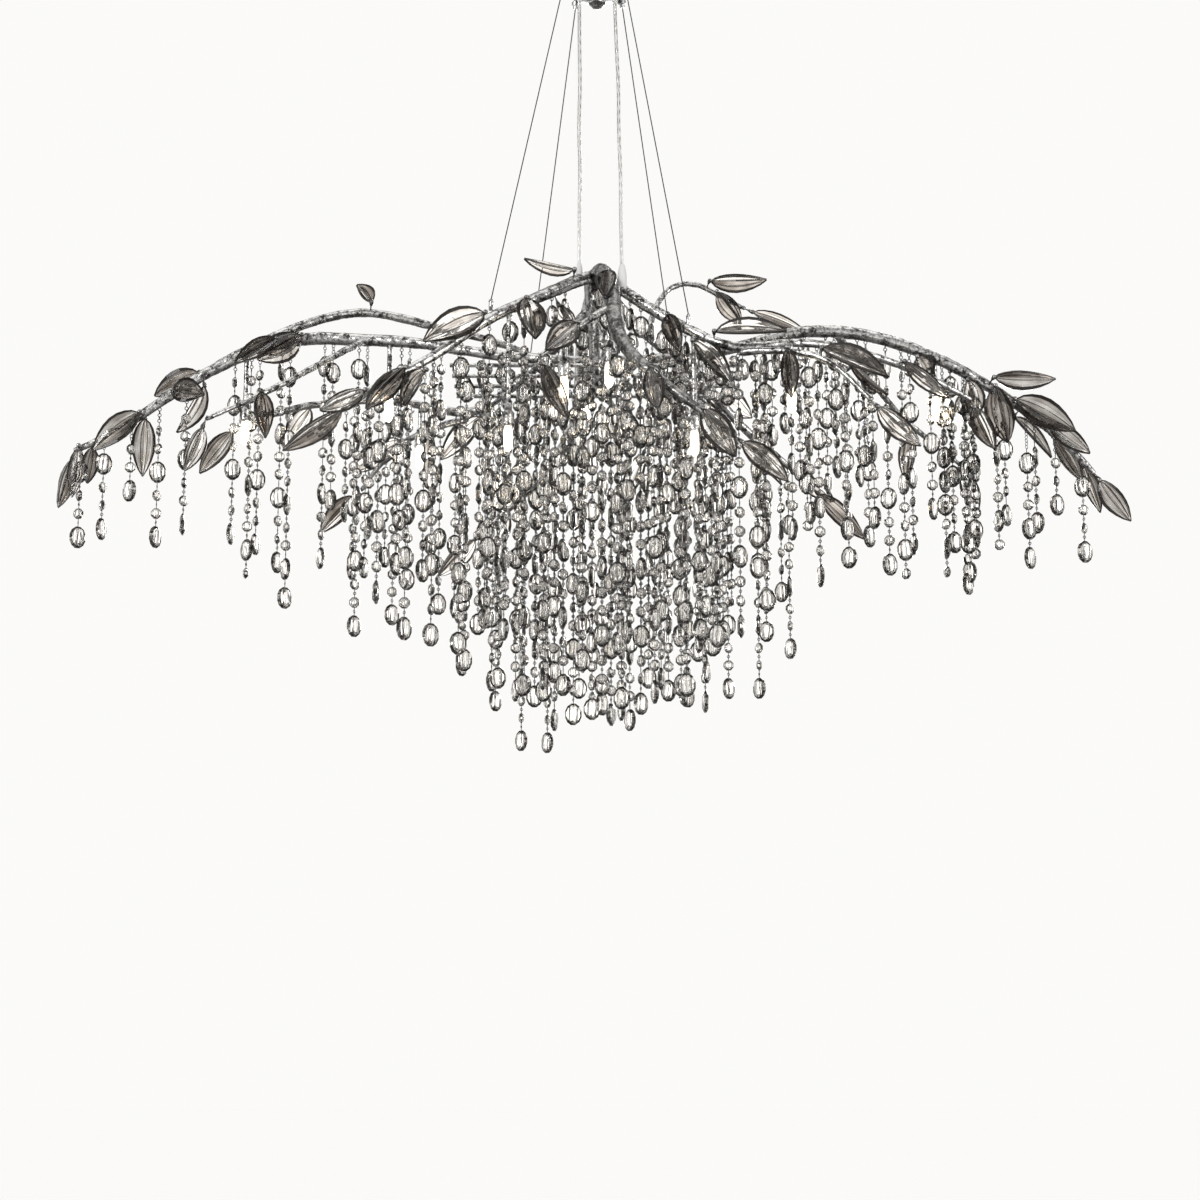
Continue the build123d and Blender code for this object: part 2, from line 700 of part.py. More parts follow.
# Branch, x on the branch, side, reach from base to tip and width of each leaf.
LEFT_LEAVES = [
    (main_left, -745, "tip", (-14, -16, -78), 24),
    (main_left, -738, "front", (-6, -4, -78), 22),
    (main_left, -722, "back", (-8, 12, -52), 22),
    (main_left, -655, "front", (-64, -14, -62), 34),
    (main_left, -650, "back", (-4, 14, -86), 32),
    (arc_left, -574, "high_back", (-68, 10, -34), 34),
    (main_left, -612, "front", (50, -14, -12), 36),
    (main_left, -574, "low_back", (-44, 26, -66), 38),
    (lower_left_twig, -537, "tip", (-22, -8, -66), 26),
    (lower_left_twig, -470, "front", (10, -14, -72), 26),
    (main_left, -466, "front", (-58, -22, -44), 26),
    (main_left, -430, "front", (-62, -20, -44), 42),
    (arc_left, -338, "high_front", (-22, -8, 26), 26),
    (arc_left, -440, "back", (-50, 22, -34), 32),
    (far_left, -524, "tip", (-50, 10, -62), 30),
    (far_left, -420, "back", (-40, 24, -50), 30),
]
RIGHT_LEAVES = [
    (main_right, 556, "high_front", (90, 2, -2), 34),
    (main_right, 530, "low_front", (8, -10, -60), 34),
    (main_right, 562, "front", (12, -20, -90), 40),
    (main_right, 590, "front", (84, -12, -52), 40),
    (main_right, 604, "low_back", (56, 16, -58), 26),
    (main_right, 640, "front", (54, -14, -46), 26),
    (main_right, 655, "back", (44, 24, -60), 24),
    (main_right, 708, "tip", (42, -8, -64), 30),
    (main_right, 696, "back", (26, 16, -66), 22),
    (main_right, 458, "low_front", (14, -10, -36), 38),
    (near_right, 524, "tip", (24, -14, -66), 28),
    (near_right, 420, "front", (60, -16, -58), 24),
    (near_right, 350, "under", (52, -12, -54), 24),
    (lower_right_twig, 537, "tip", (22, 8, -66), 26),
    (lower_right_twig, 470, "back", (-10, 14, -72), 26),
]
NEAR_LEAVES = [
    (near_left, -34, "high_front", (-72, -20, 10), 28),
    (near_left, -62, "under", (22, -14, -34), 24),
    (near_left, -106, "front", (14, -18, -66), 40),
    (near_left, -158, "front", (-84, -34, -52), 42),
    (near_left, -240, "low_front", (-30, -34, -62), 30),
    (near_left, -262, "front", (-48, -44, -70), 28),
    (near_left, -310, "front", (-58, -20, -34), 26),
    (near_left, -328, "tip", (-76, -34, -66), 28),
    (front_twig, -30, "front", (-44, -22, -46), 34),
    (front_twig, -76, "tip", (34, -12, -80), 26),
    (near_centre, 18, "front", (-4, -30, -52), 28),
    (near_centre, 75, "front", (10, -24, -66), 26),
    (near_centre, 140, "front", (42, -16, -70), 34),
    (near_centre, 180, "tip", (60, -14, -58), 30),
    (near_right, 104, "front", (16, -24, -62), 26),
    (near_right, 160, "high_front", (98, -28, -8), 34),
    (near_right, 142, "low_front", (52, -20, -66), 34),
    (right_twig, 262, "front", (4, -14, -76), 24),
    (right_twig, 300, "high_front", (86, -26, -48), 38),
    (right_twig, 362, "tip", (56, -10, -58), 30),
]
FAR_LEAVES = [
    (curl, 165, "high_front", (88, 4, 4), 34),
    (curl, 180, "front", (36, -14, -54), 28),
    (curl, 223, "tip", (86, 4, -34), 20),
    (far_right, 106, "low_back", (18, 26, -64), 34),
    (far_right, 158, "back", (84, 34, -52), 42),
    (far_right, 240, "low_back", (54, 34, -52), 30),
    (far_right, 310, "back", (58, 20, -34), 26),
    (far_right, 328, "tip", (76, 34, -66), 28),
    (back_twig, 30, "back", (44, 22, -46), 34),
    (back_twig, 76, "tip", (-34, 12, -80), 26),
    (far_centre, -18, "back", (4, 30, -52), 28),
    (far_centre, -75, "back", (-10, 24, -66), 26),
    (far_centre, -140, "back", (-42, 16, -70), 34),
    (far_centre, -180, "tip", (-60, 14, -58), 30),
    (far_left, -182, "back", (-62, 30, -62), 34),
    (left_twig, -262, "back", (-4, 14, -76), 24),
    (left_twig, -300, "high_back", (-86, 26, -48), 38),
    (left_twig, -362, "tip", (-56, 10, -58), 30),
]
LEAF_GROUPS = {
    "left_leaves": LEFT_LEAVES,
    "right_leaves": RIGHT_LEAVES,
    "near_leaves": NEAR_LEAVES,
    "far_leaves": FAR_LEAVES,
}
stems = []
for name, leaves in LEAF_GROUPS.items():
    made = [leaf(*words) for words in leaves]
    stems += [stem for stem, _ in made]
    with BuildPart() as blades:
        add([blade for _, blade in made])
    finish(blades.part, name)
with BuildPart() as leaf_stems:
    add(stems)
finish(leaf_stems.part, "leaf_stems")

# ---- strands of crystal ---------------------------------------------------------------------
HOOK_LENGTH = 14.0
# The x and the number of beads of each strand on a branch.
BRANCH_STRANDS = {
    "main_left_strands": (
        main_left,
        [(-525, 8), (-459, 10), (-397, 10), (-347, 13), (-272, 11), (-226, 12)],
    ),
    "main_right_strands": (
        main_right,
        [(225, 10), (275, 9), (353, 10), (410, 10), (502, 8), (534, 7)],
    ),
    "near_left_strands": (near_left, [(-148, 13), (-185, 13), (-220, 12), (-254, 11), (-290, 9)]),
    "near_centre_strands": (near_centre, [(27, 13), (40, 12), (75, 13), (115, 12), (155, 9)]),
    "near_right_strands": (
        near_right,
        [(114, 12), (155, 13), (192, 12), (228, 11), (302, 10), (340, 8), (380, 7)],
    ),
    "far_left_strands": (far_left, [(-114, 12), (-155, 13), (-200, 12), (-302, 10), (-360, 8)]),
    "far_centre_strands": (far_centre, [(-27, 13), (-75, 13), (-115, 12), (-155, 9)]),
    "far_right_strands": (far_right, [(148, 13), (194, 13), (241, 12), (290, 9)]),
}
for name, (branch, places) in BRANCH_STRANDS.items():
    hang(name, [strand(branch.below(x), beads, HOOK_LENGTH, x) for x, beads in places])

# Single strands that swing by themselves.
SWINGING_STRANDS = {
    "left_strand_1": (main_left, -736, 4, 10),
    "left_strand_2": (main_left, -704, 4, 12),
    "left_strand_3": (main_left, -667, 3, 22),
    "left_strand_4": (main_left, -629, 6, 20),
    "left_strand_5": (main_left, -592, 6, 30),
    "left_strand_6": (main_left, -490, 9, 20),
    "right_strand_1": (main_right, 690, 4, 12),
    "right_strand_2": (main_right, 652, 3, 24),
    "right_strand_3": (main_right, 622, 4, 30),
    "right_strand_4": (main_right, 578, 5, 24),
    "right_strand_5": (main_right, 382, 9, 24),
    "right_strand_6": (main_right, 444, 9, 14),
}
for name, (branch, x, beads, hook) in SWINGING_STRANDS.items():
    hang(name, [strand(branch.below(x), beads, hook, x)])

# The middle strands hang in rows, longest in the middle, with a ragged lower edge.
ROW_NAMES = ["front", "second", "third", "back"]
for row, (name, y) in enumerate(zip(ROW_NAMES, ROW_PLACES)):
    strands = []
    for index in range(STRANDS_PER_ROW):
        x = (index - (STRANDS_PER_ROW - 1) / 2) * STRAND_SPACING + ROW_STAGGER[row]
        top = Vector(x, y, ROD_HEIGHT - ROD_RADIUS * FLAT)
        shorter = SHORTER_PER_STEP * abs(x) / STRAND_SPACING + RAGGED[(3 * row + index) % len(RAGGED)]
        strands.append(strand(top, MIDDLE_BEADS - round(shorter), MIDDLE_HOOK, x + ROW_TURN * row))
    hang(f"{name}_row_strands", strands)
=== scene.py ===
import json
import math
from dataclasses import dataclass

import bmesh
import bpy
from bpy.props import FloatProperty, FloatVectorProperty, IntProperty, PointerProperty
from mathutils import Matrix, Vector
from mathutils.bvhtree import BVHTree


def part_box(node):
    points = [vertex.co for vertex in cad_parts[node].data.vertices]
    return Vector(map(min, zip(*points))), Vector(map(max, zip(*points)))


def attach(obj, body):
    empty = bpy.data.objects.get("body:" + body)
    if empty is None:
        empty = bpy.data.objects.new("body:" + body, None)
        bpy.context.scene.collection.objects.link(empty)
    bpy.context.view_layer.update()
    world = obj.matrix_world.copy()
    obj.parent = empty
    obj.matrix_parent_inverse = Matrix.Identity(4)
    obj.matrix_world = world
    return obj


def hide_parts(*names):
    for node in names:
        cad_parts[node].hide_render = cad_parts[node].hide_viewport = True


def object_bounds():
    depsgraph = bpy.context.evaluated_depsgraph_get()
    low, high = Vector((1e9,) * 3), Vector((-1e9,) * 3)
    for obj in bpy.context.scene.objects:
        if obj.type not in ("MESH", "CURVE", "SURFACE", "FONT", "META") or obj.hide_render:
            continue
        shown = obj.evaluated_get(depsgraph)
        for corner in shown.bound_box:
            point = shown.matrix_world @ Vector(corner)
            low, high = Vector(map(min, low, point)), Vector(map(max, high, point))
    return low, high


bl_info = {
    "name": "Crystal Chandelier",
    "version": (1, 0, 0),
    "blender": (4, 5, 0),
    "location": "View3D > Sidebar > Chandelier",
    "description": "Models and finishes a branch chandelier hung with cut crystals",
    "category": "Object",
}

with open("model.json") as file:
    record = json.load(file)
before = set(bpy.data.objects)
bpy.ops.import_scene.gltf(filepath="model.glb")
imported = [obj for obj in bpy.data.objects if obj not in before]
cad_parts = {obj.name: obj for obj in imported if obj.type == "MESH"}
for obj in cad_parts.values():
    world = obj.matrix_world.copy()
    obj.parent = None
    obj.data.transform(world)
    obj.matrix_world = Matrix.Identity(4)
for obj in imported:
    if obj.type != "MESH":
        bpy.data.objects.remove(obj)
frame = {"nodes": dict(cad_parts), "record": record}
CAD_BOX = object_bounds()
MM = 0.001
UP = Vector((0, 0, 1))
FRAME_BODY = "frame"
BEAD_MAP = "bead_map"
LEAF_MAP = "leaf_map"

BRANCH_NODES = [f"near_{side}_branch" for side in ("centre", "left", "right")]
BRANCH_NODES += [f"far_{side}_branch" for side in ("centre", "left", "right")]
BRANCH_NODES += ["main_left_branch", "main_right_branch", "arc_left_branch", "side_twigs"]
TRUNK_NODES = ["crown_hub", "near_centre_branch"]
LEAF_NODES = ["left_leaves", "right_leaves", "near_leaves", "far_leaves"]
STRAND_NODES = sorted(n for n in frame["nodes"] if n.endswith("_strands") or "_strand_" in n)
NODE_BODY = {n: body for body, names in frame["record"]["behaviour"]["bodies"].items() for n in names}


# ---- shader maths ---------------------------------------------------------------------------
class Value:
    """A socket that adds a maths node when a Python operator acts on it."""

    def __init__(self, tree, socket):
        self.tree = tree
        self.socket = socket

    def maths(self, operation, *others):
        node = self.tree.nodes.new("ShaderNodeMath")
        node.operation = operation
        for slot, operand in zip(node.inputs, (self, *others)):
            plug(self.tree, slot, operand)
        return Value(self.tree, node.outputs[0])

    def __add__(self, other):
        return self.maths("ADD", other)

    def __rsub__(self, other):
        return self * -1 + other

    def __mul__(self, other):
        return self.maths("MULTIPLY", other)

    __radd__ = __add__

    def between(self, low, high):
        """A smooth step from 0 at low to 1 at high."""
        node = self.tree.nodes.new("ShaderNodeMapRange")
        node.interpolation_type = "SMOOTHSTEP"
        for name, operand in (("Value", self), ("From Min", low), ("From Max", high)):
            plug(self.tree, node.inputs[name], operand)
        return Value(self.tree, node.outputs["Result"])


def plug(tree, slot, operand):
    """Give a socket its value or its link. A colour comes without its alpha."""
    if isinstance(operand, Value):
        tree.links.new(operand.socket, slot)
    elif slot.type == "RGBA":
        slot.default_value = (*operand, 1.0)
    else:
        slot.default_value = operand


class Nodes:
    """The nodes of a new material or world."""

    def __init__(self, owner):
        owner.use_nodes = True
        self.owner = owner
        self.tree = owner.node_tree
        self.tree.nodes.clear()

    def add(self, kind, output, settings=None, **inputs):
        """Add a node, its settings first, then its inputs, and return one output."""
        node = self.tree.nodes.new("ShaderNode" + kind)
        for name, setting in (settings or {}).items():
            setattr(node, name, setting)
        for name, operand in inputs.items():
            plug(self.tree, node.inputs[name.replace("_", " ")], operand)
        return Value(self.tree, node.outputs[output])

    def place(self):
        return self.add("TexCoord", "Object")

    def own_map(self, name):
        return self.add("UVMap", "UV", {"uv_map": name})

    def noise(self, scale, detail=2.0, roughness=0.55, vector=None):
        vector = vector or self.place()
        return self.add("TexNoise", "Fac", Vector=vector, Scale=scale, Detail=detail, Roughness=roughness)

    def blend(self, share, dark, light):
        """A colour between two colours."""
        node = self.tree.nodes.new("ShaderNodeMix")
        node.data_type = "RGBA"
        for slot, operand in ((0, share), (6, dark), (7, light)):
            plug(self.tree, node.inputs[slot], operand)
        return Value(self.tree, node.outputs[2])

    def bump(self, height, distance, strength):
        return self.add("Bump", "Normal", Height=height, Distance=distance, Strength=strength)

    def finish(self, kind, surface):
        """Link a surface to the output and return the finished material or world."""
        node = self.tree.nodes.new("ShaderNodeOutput" + kind)
        plug(self.tree, node.inputs["Surface"], surface)
        return self.owner

    def principled(self, **inputs):
        """The finished material of one principled surface."""
        return self.finish("Material", self.add("BsdfPrincipled", "BSDF", **inputs))


# ---- finishes -------------------------------------------------------------------------------
# Plain finishes: the scale and detail of their grain, the two colours that it mixes, their
# roughness, what the grain adds to it (wear) and how deep the grain is (relief), then what else
# the surface has.
PLAIN_FINISHES = {
    "plated_steel": {
        "scale": 900.0, "detail": 3.0, "dark": (0.42, 0.42, 0.43), "light": (0.7, 0.7, 0.7),
        "roughness": 0.22, "wear": 0.16, "relief": 0.3 * MM, "Metallic": 1.0,
    },
    "fine_wire": {
        "scale": 1500.0, "dark": (0.02, 0.02, 0.02), "light": (0.2, 0.2, 0.195),
        "roughness": 0.2, "wear": 0.15, "Metallic": 1.0,
    },
    "clear_sleeve": {
        "scale": 160.0, "dark": (0.93, 0.93, 0.92), "light": (0.99, 0.99, 0.98),
        "roughness": 0.04, "wear": 0.05, "IOR": 1.12, "Transmission_Weight": 1.0,
    },
    "tinned_wire": {
        "scale": 800.0, "dark": (0.66, 0.66, 0.65), "light": (0.92, 0.92, 0.91),
        "roughness": 0.4, "Metallic": 0.1,
    },
    "moulded_grey_plastic": {
        "scale": 700.0, "detail": 3.0, "dark": (0.6, 0.6, 0.59), "light": (0.74, 0.74, 0.73),
        "roughness": 0.45, "wear": 0.15, "relief": 0.2 * MM,
    },
    "clear_lamp_glass": {
        "scale": 120.0, "dark": (0.86, 0.84, 0.8), "light": (0.97, 0.96, 0.94),
        "roughness": 0.0, "wear": 0.03, "IOR": 1.3, "Transmission_Weight": 1.0,
        "Emission_Color": (1.0, 0.9, 0.74), "Emission_Strength": 0.9,
    },
}
GRAIN_STRENGTH = 0.3


def new_finish(name):
    """The nodes of a new material."""
    return Nodes(bpy.data.materials.new(name))


def grained(name, scale, dark, light, roughness, detail=2.0, wear=0.0, relief=0.0, **inputs):
    """A surface of two colours mixed by a fine grain."""
    nodes = new_finish(name)
    grain = nodes.noise(scale, detail)
    if wear:
        roughness = roughness + grain * wear
    if relief:
        inputs["Normal"] = nodes.bump(grain, relief, GRAIN_STRENGTH)
    return nodes.principled(Base_Color=nodes.blend(grain, dark, light), Roughness=roughness, **inputs)


def plain_finish(name):
    """One of the plain finishes."""
    return grained(name, **PLAIN_FINISHES[name])


def silver_leaf(settings, name="antique_silver_leaf", bright=None):
    """Silver leaf over cast metal, tarnished in specks, with painted shade that darkens it where it looks
    down.
    """
    nodes = new_finish(name)
    patches = nodes.noise(85.0, detail=3.0, roughness=0.6)
    specks = nodes.noise(260.0, detail=4.0, roughness=0.7)
    clean = (patches * 0.5 + specks * 0.5).between(0.41, 0.56)
    # Painted shade: faces that look down are blended towards the tarnish colour, as if lit only from above.
    upward = nodes.add("SeparateXYZ", "Z", Vector=nodes.add("NewGeometry", "Normal"))
    painted_light_from_above = upward.between(-0.85, -0.1)
    return nodes.principled(
        Base_Color=nodes.blend(clean * (painted_light_from_above * 0.8 + 0.2), settings.tarnish_and_painted_shade, bright or settings.silver),
        Metallic=0.95,
        Roughness=0.4 - clean * 0.2,
        Normal=nodes.bump(specks, distance=0.9 * MM, strength=0.4),
    )


def cut_crystal(settings):
    """Clear lead crystal, a little grey, with faint grey stripes along each bead."""
    nodes = new_finish("cut_crystal")
    own = nodes.own_map(BEAD_MAP)
    stripes = nodes.add(
        "TexWave", "Fac", {"bands_direction": "X"}, Vector=own, Scale=1.15, Distortion=2.2, Detail=2.0
    )
    return nodes.principled(
        Base_Color=nodes.blend(stripes, settings.crystal_dark, settings.crystal),
        Roughness=0.0,
        IOR=1.6,
        Transmission_Weight=1.0,
        Normal=nodes.bump(stripes, distance=1.6 * MM, strength=0.5),
    )


def crystal_rim_painted_shade(settings):
    """The bevelled rim of a crystal, painted near black: painted shade for the dark outline that light
    leaving it sideways gives.
    """
    nodes = new_finish("crystal_rim_painted_shade")
    veil = nodes.noise(260.0).between(0.5, 0.72)
    return nodes.principled(
        Base_Color=nodes.blend(veil, settings.rim, settings.crystal_dark),
        Roughness=0.02,
        IOR=1.28,
        Transmission_Weight=0.75,
    )


def smoked_glass(name, dark, pale):
    """Smoked glass with soft streaks that run along the leaf."""
    nodes = new_finish(name)
    drawn_out = nodes.add("Mapping", "Vector", Vector=nodes.own_map(LEAF_MAP), Scale=(5.0, 0.9, 1.0))
    streaks = nodes.noise(1.0, roughness=0.5, vector=drawn_out)
    clouds = nodes.noise(30.0)
    share = (streaks * 0.6 + clouds * 0.4).between(0.4, 0.6)
    return nodes.principled(
        Base_Color=nodes.blend(share, dark, pale),
        Roughness=clouds * 0.03,
        IOR=1.55,
        Transmission_Weight=0.94,
        Normal=nodes.bump(streaks, distance=1.5 * MM, strength=0.3),
    )


def painted_shade_leaf_edge(settings):
    """The thick edge of a glass leaf, painted near black: painted shade for its dark outline."""
    nodes = new_finish("painted_shade_leaf_edge_glass")
    clouds = nodes.noise(180.0, detail=3.0)
    return nodes.principled(
        Base_Color=nodes.blend(clouds * 0.5, settings.rim, settings.smoke_deep),
        Roughness=0.08,
        IOR=1.3,
        Transmission_Weight=0.5,
    )


def cable_wire():
    """Dark stranded steel cable."""
    nodes = new_finish("stranded_cable")
    lay = nodes.add("TexWave", "Fac", {"bands_direction": "DIAGONAL"}, Vector=nodes.place(), Scale=260.0)
    return nodes.principled(
        Base_Color=nodes.blend(lay, (0.005, 0.005, 0.005), (0.03, 0.03, 0.03)),
        Metallic=0.1,
        Roughness=0.5 - lay * 0.15,
        Normal=nodes.bump(lay, distance=0.4 * MM, strength=0.6),
    )


def lit_core(settings):
    """The glowing core of a lit lamp."""
    nodes = new_finish("lit_lamp_core")
    glow = nodes.noise(60.0).between(0.3, 0.7)
    return nodes.principled(
        Base_Color=(1.0, 0.97, 0.92),
        Roughness=0.35,
        Emission_Color=nodes.blend(glow, settings.glow, (1.0, 0.95, 0.85)),
        Emission_Strength=settings.glow_strength,
    )


# ---- modelling helpers ----------------------------------------------------------------------
# Faces that meet at more than this stay sharp on a turned shape.
TURNED_EDGE = math.radians(40)
# How much of its solid's radius a turned shape fills.
TURNED_SHARE = 0.95
# Corners of the frame's meshes that are nearer than this are one.
SAME_CORNER = 0.02 * MM
# The way that a shape's front looks, unless the shape itself lies within this margin of it.
FRONT = Vector((0, -1, 0.2))
FRONT_MARGIN = 0.1


def deselect():
    """Leave every object unselected, in object mode."""
    if bpy.context.mode != "OBJECT":
        bpy.ops.object.mode_set(mode="OBJECT")
    bpy.ops.object.select_all(action="DESELECT")


def select_only(piece):
    deselect()
    piece.select_set(True)
    bpy.context.view_layer.objects.active = piece


def pick(piece, test, kind="FACE"):
    """Select the faces, edges or corners that pass a test, in edit mode."""
    select_only(piece)
    bpy.ops.object.mode_set(mode="EDIT")
    bpy.ops.mesh.select_mode(type=kind)
    bpy.ops.mesh.select_all(action="DESELECT")
    mesh = bmesh.from_edit_mesh(piece.data)
    for element in {"FACE": mesh.faces, "EDGE": mesh.edges, "VERT": mesh.verts}[kind]:
        element.select_set(test(element))
    bmesh.update_edit_mesh(piece.data)


def baked():
    """The primitive in hand, with its place baked into its mesh."""
    bpy.ops.object.transform_apply(location=True, rotation=True, scale=True)
    return bpy.context.object


def take_mesh(name):
    """The mesh of the primitive in hand, with its object removed."""
    piece = bpy.context.object
    deselect()
    mesh = piece.data
    mesh.name = name
    bpy.data.objects.remove(piece)
    return mesh


def linked(name, data):
    """A new object in the scene."""
    piece = bpy.data.objects.new(name, data)
    bpy.context.scene.collection.objects.link(piece)
    return piece


def modify(piece, name, kind, **settings):
    """Add a modifier with its settings."""
    modifier = piece.modifiers.new(name, kind)
    for setting, value in settings.items():
        setattr(modifier, setting, value)


def apply_modifiers(piece):
    select_only(piece)
    for modifier in list(piece.modifiers):
        bpy.ops.object.modifier_apply(modifier=modifier.name)


def keep_inside(piece):
    """Press what stands past the frame's box back to it."""
    for corner in piece.data.vertices:
        corner.co = [min(max(v, low), high) for v, low, high in zip(corner.co, *CAD_BOX)]


def turning(name, levels, sides):
    """A turned shape: height and radius of each level, as a circle extruded and resized."""
    deselect()
    height, radius = levels[0]
    bpy.ops.mesh.primitive_circle_add(
        vertices=sides, radius=radius, fill_type="NGON", location=(0, 0, height)
    )
    piece = baked()
    pick(piece, lambda face: True)
    for next_height, next_radius in levels[1:]:
        bpy.ops.mesh.extrude_region_move(TRANSFORM_OT_translate={"value": (0, 0, next_height - height)})
        scale = next_radius / radius
        bpy.ops.transform.resize(value=(scale, scale, 1), center_override=(0, 0, next_height))
        height, radius = next_height, next_radius
    bpy.ops.mesh.select_all(action="SELECT")
    bpy.ops.mesh.normals_make_consistent(inside=False)
    select_only(piece)
    bpy.ops.object.shade_smooth_by_angle(angle=TURNED_EDGE)
    return take_mesh(name)


def islands(node):
    """The corner points of each separate solid of a node, from a merged copy of its mesh."""
    mesh = bmesh.new()
    mesh.from_mesh(frame["nodes"][node].data)
    bmesh.ops.remove_doubles(mesh, verts=mesh.verts, dist=SAME_CORNER)
    seen, found = set(), []
    for start in mesh.verts:
        if start in seen:
            continue
        group, front = [], [start]
        seen.add(start)
        while front:
            corner = front.pop()
            group.append(corner.co.copy())
            for edge in corner.link_edges:
                other = edge.other_vert(corner)
                if other not in seen:
                    seen.add(other)
                    front.append(other)
        found.append(group)
    mesh.free()
    found.sort(key=lambda group: tuple(round(v, 5) for v in middle(group)))
    return found


def middle(points):
    return sum(points, Vector()) / len(points)


def ends(points):
    """The two points of a solid that lie furthest apart."""
    pairs = ((a, b) for i, a in enumerate(points) for b in points[i + 1 :])
    return max(pairs, key=lambda pair: (pair[0] - pair[1]).length)


def taper(points):
    """The ends of a tapered solid, the one nearer its girdle first, and the girdle."""
    near, far = ends(points)
    girdle = [p for p in points if p not in (near, far)]
    if (middle(girdle) - far).length < (middle(girdle) - near).length:
        near, far = far, near
    return near, far, girdle


def basis(across, through, along, origin):
    """The matrix with these three axes at an origin."""
    matrix = Matrix((across, through, along)).transposed().to_4x4()
    matrix.translation = origin
    return matrix


def facing(along):
    """Three directions square to each other, the last one this one."""
    along = along.normalized()
    across = along.cross(FRONT)
    if across.length < FRONT_MARGIN:
        across = along.cross(Vector((1, 0, 0)))
    across.normalize()
    return across, along.cross(across), along


def stand(low, high, scale=1.0):
    """The place of a shape of height 1 that stands from one point to another."""
    along = high - low
    across, through, upward = facing(along)
    return basis(across * scale, through * scale, upward * along.length, low)


def shift(x, y, z):
    return Matrix.Translation((x, y, z))


def spin(angle):
    return Matrix.Rotation(angle, 4, "Z")


def copies(name, placed, *materials):
    """One piece made of copies of meshes, each copy with its own place."""
    whole = bmesh.new()
    for mesh, place in placed:
        copy = mesh.copy()
        copy.transform(place)
        if place.determinant() < 0:
            copy.flip_normals()
        whole.from_mesh(copy)
        bpy.data.meshes.remove(copy)
    data = bpy.data.meshes.new(name)
    whole.to_mesh(data)
    whole.free()
    for material in materials:
        data.materials.append(material)
    return linked(name, data)


def settle(piece, body, slot, *nodes):
    """Hand a finished piece to its body and hide the CAD nodes that it replaces; slot is not used."""
    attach(piece, body)
    if nodes:
        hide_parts(*nodes)


def fill_solids(node, name, slot, meshes, *materials, hanging=False):
    """Stand turned shapes in each upright solid of a node, or hang them in it foot up."""
    placed = []
    for points in islands(node):
        centre = middle(points)
        heights = sorted((p.z for p in points), reverse=hanging)
        foot, head = (Vector((centre.x, centre.y, z)) for z in (heights[0], heights[-1]))
        radius = max((p - centre).xy.length for p in points)
        placed += [(mesh, stand(foot, head, radius * TURNED_SHARE)) for mesh in meshes]
    settle(copies(name, placed, *materials), FRAME_BODY, slot, node)


def paint(node, material):
    """Give a CAD node that is shown as it is its finish."""
    frame["nodes"][node].data.materials.clear()
    frame["nodes"][node].data.materials.append(material)


# ---- settings -------------------------------------------------------------------------------
class ChandelierFinishes(bpy.types.PropertyGroup):
    """Colours of the chandelier's finishes"""

    silver: FloatVectorProperty(
        name="Silver", description="Bright silver leaf", subtype="COLOR", default=(0.78, 0.775, 0.76)
    )
    # The tarnish of the leaf's specks, also used as the painted shade on surfaces that look down.
    tarnish_and_painted_shade: FloatVectorProperty(
        name="Tarnish", description="Hollows of the leaf", subtype="COLOR", default=(0.045, 0.042, 0.04)
    )
    dark_silver: FloatVectorProperty(
        name="Dark silver", description="Trunk and leaf caps", subtype="COLOR", default=(0.36, 0.355, 0.345)
    )
    crystal: FloatVectorProperty(
        name="Crystal", description="Clear part of a crystal", subtype="COLOR", default=(0.98, 0.965, 0.94)
    )
    crystal_dark: FloatVectorProperty(
        name="Dark crystal", description="Stripes of a crystal", subtype="COLOR", default=(0.64, 0.61, 0.565)
    )
    # Painted shade: the near black painted on the rims of crystals and leaves for their dark outlines.
    rim: FloatVectorProperty(
        name="Rim", description="Rims of crystals and leaves", subtype="COLOR", default=(0.018, 0.017, 0.016)
    )
    smoke: FloatVectorProperty(
        name="Smoke", description="Pale part of the leaf glass", subtype="COLOR", default=(0.68, 0.66, 0.63)
    )
    smoke_dark: FloatVectorProperty(
        name="Dark smoke", description="Dark part of the glass", subtype="COLOR", default=(0.3, 0.275, 0.25)
    )
    smoke_deep: FloatVectorProperty(
        name="Deep smoke", description="Darkest glass streaks", subtype="COLOR", default=(0.07, 0.058, 0.048)
    )
    glow: FloatVectorProperty(
        name="Glow", description="Colour of the lamps", subtype="COLOR", default=(1.0, 0.82, 0.56)
    )
    glow_strength: FloatProperty(name="Glow strength", description="Brightness of the lamps", default=16.0)


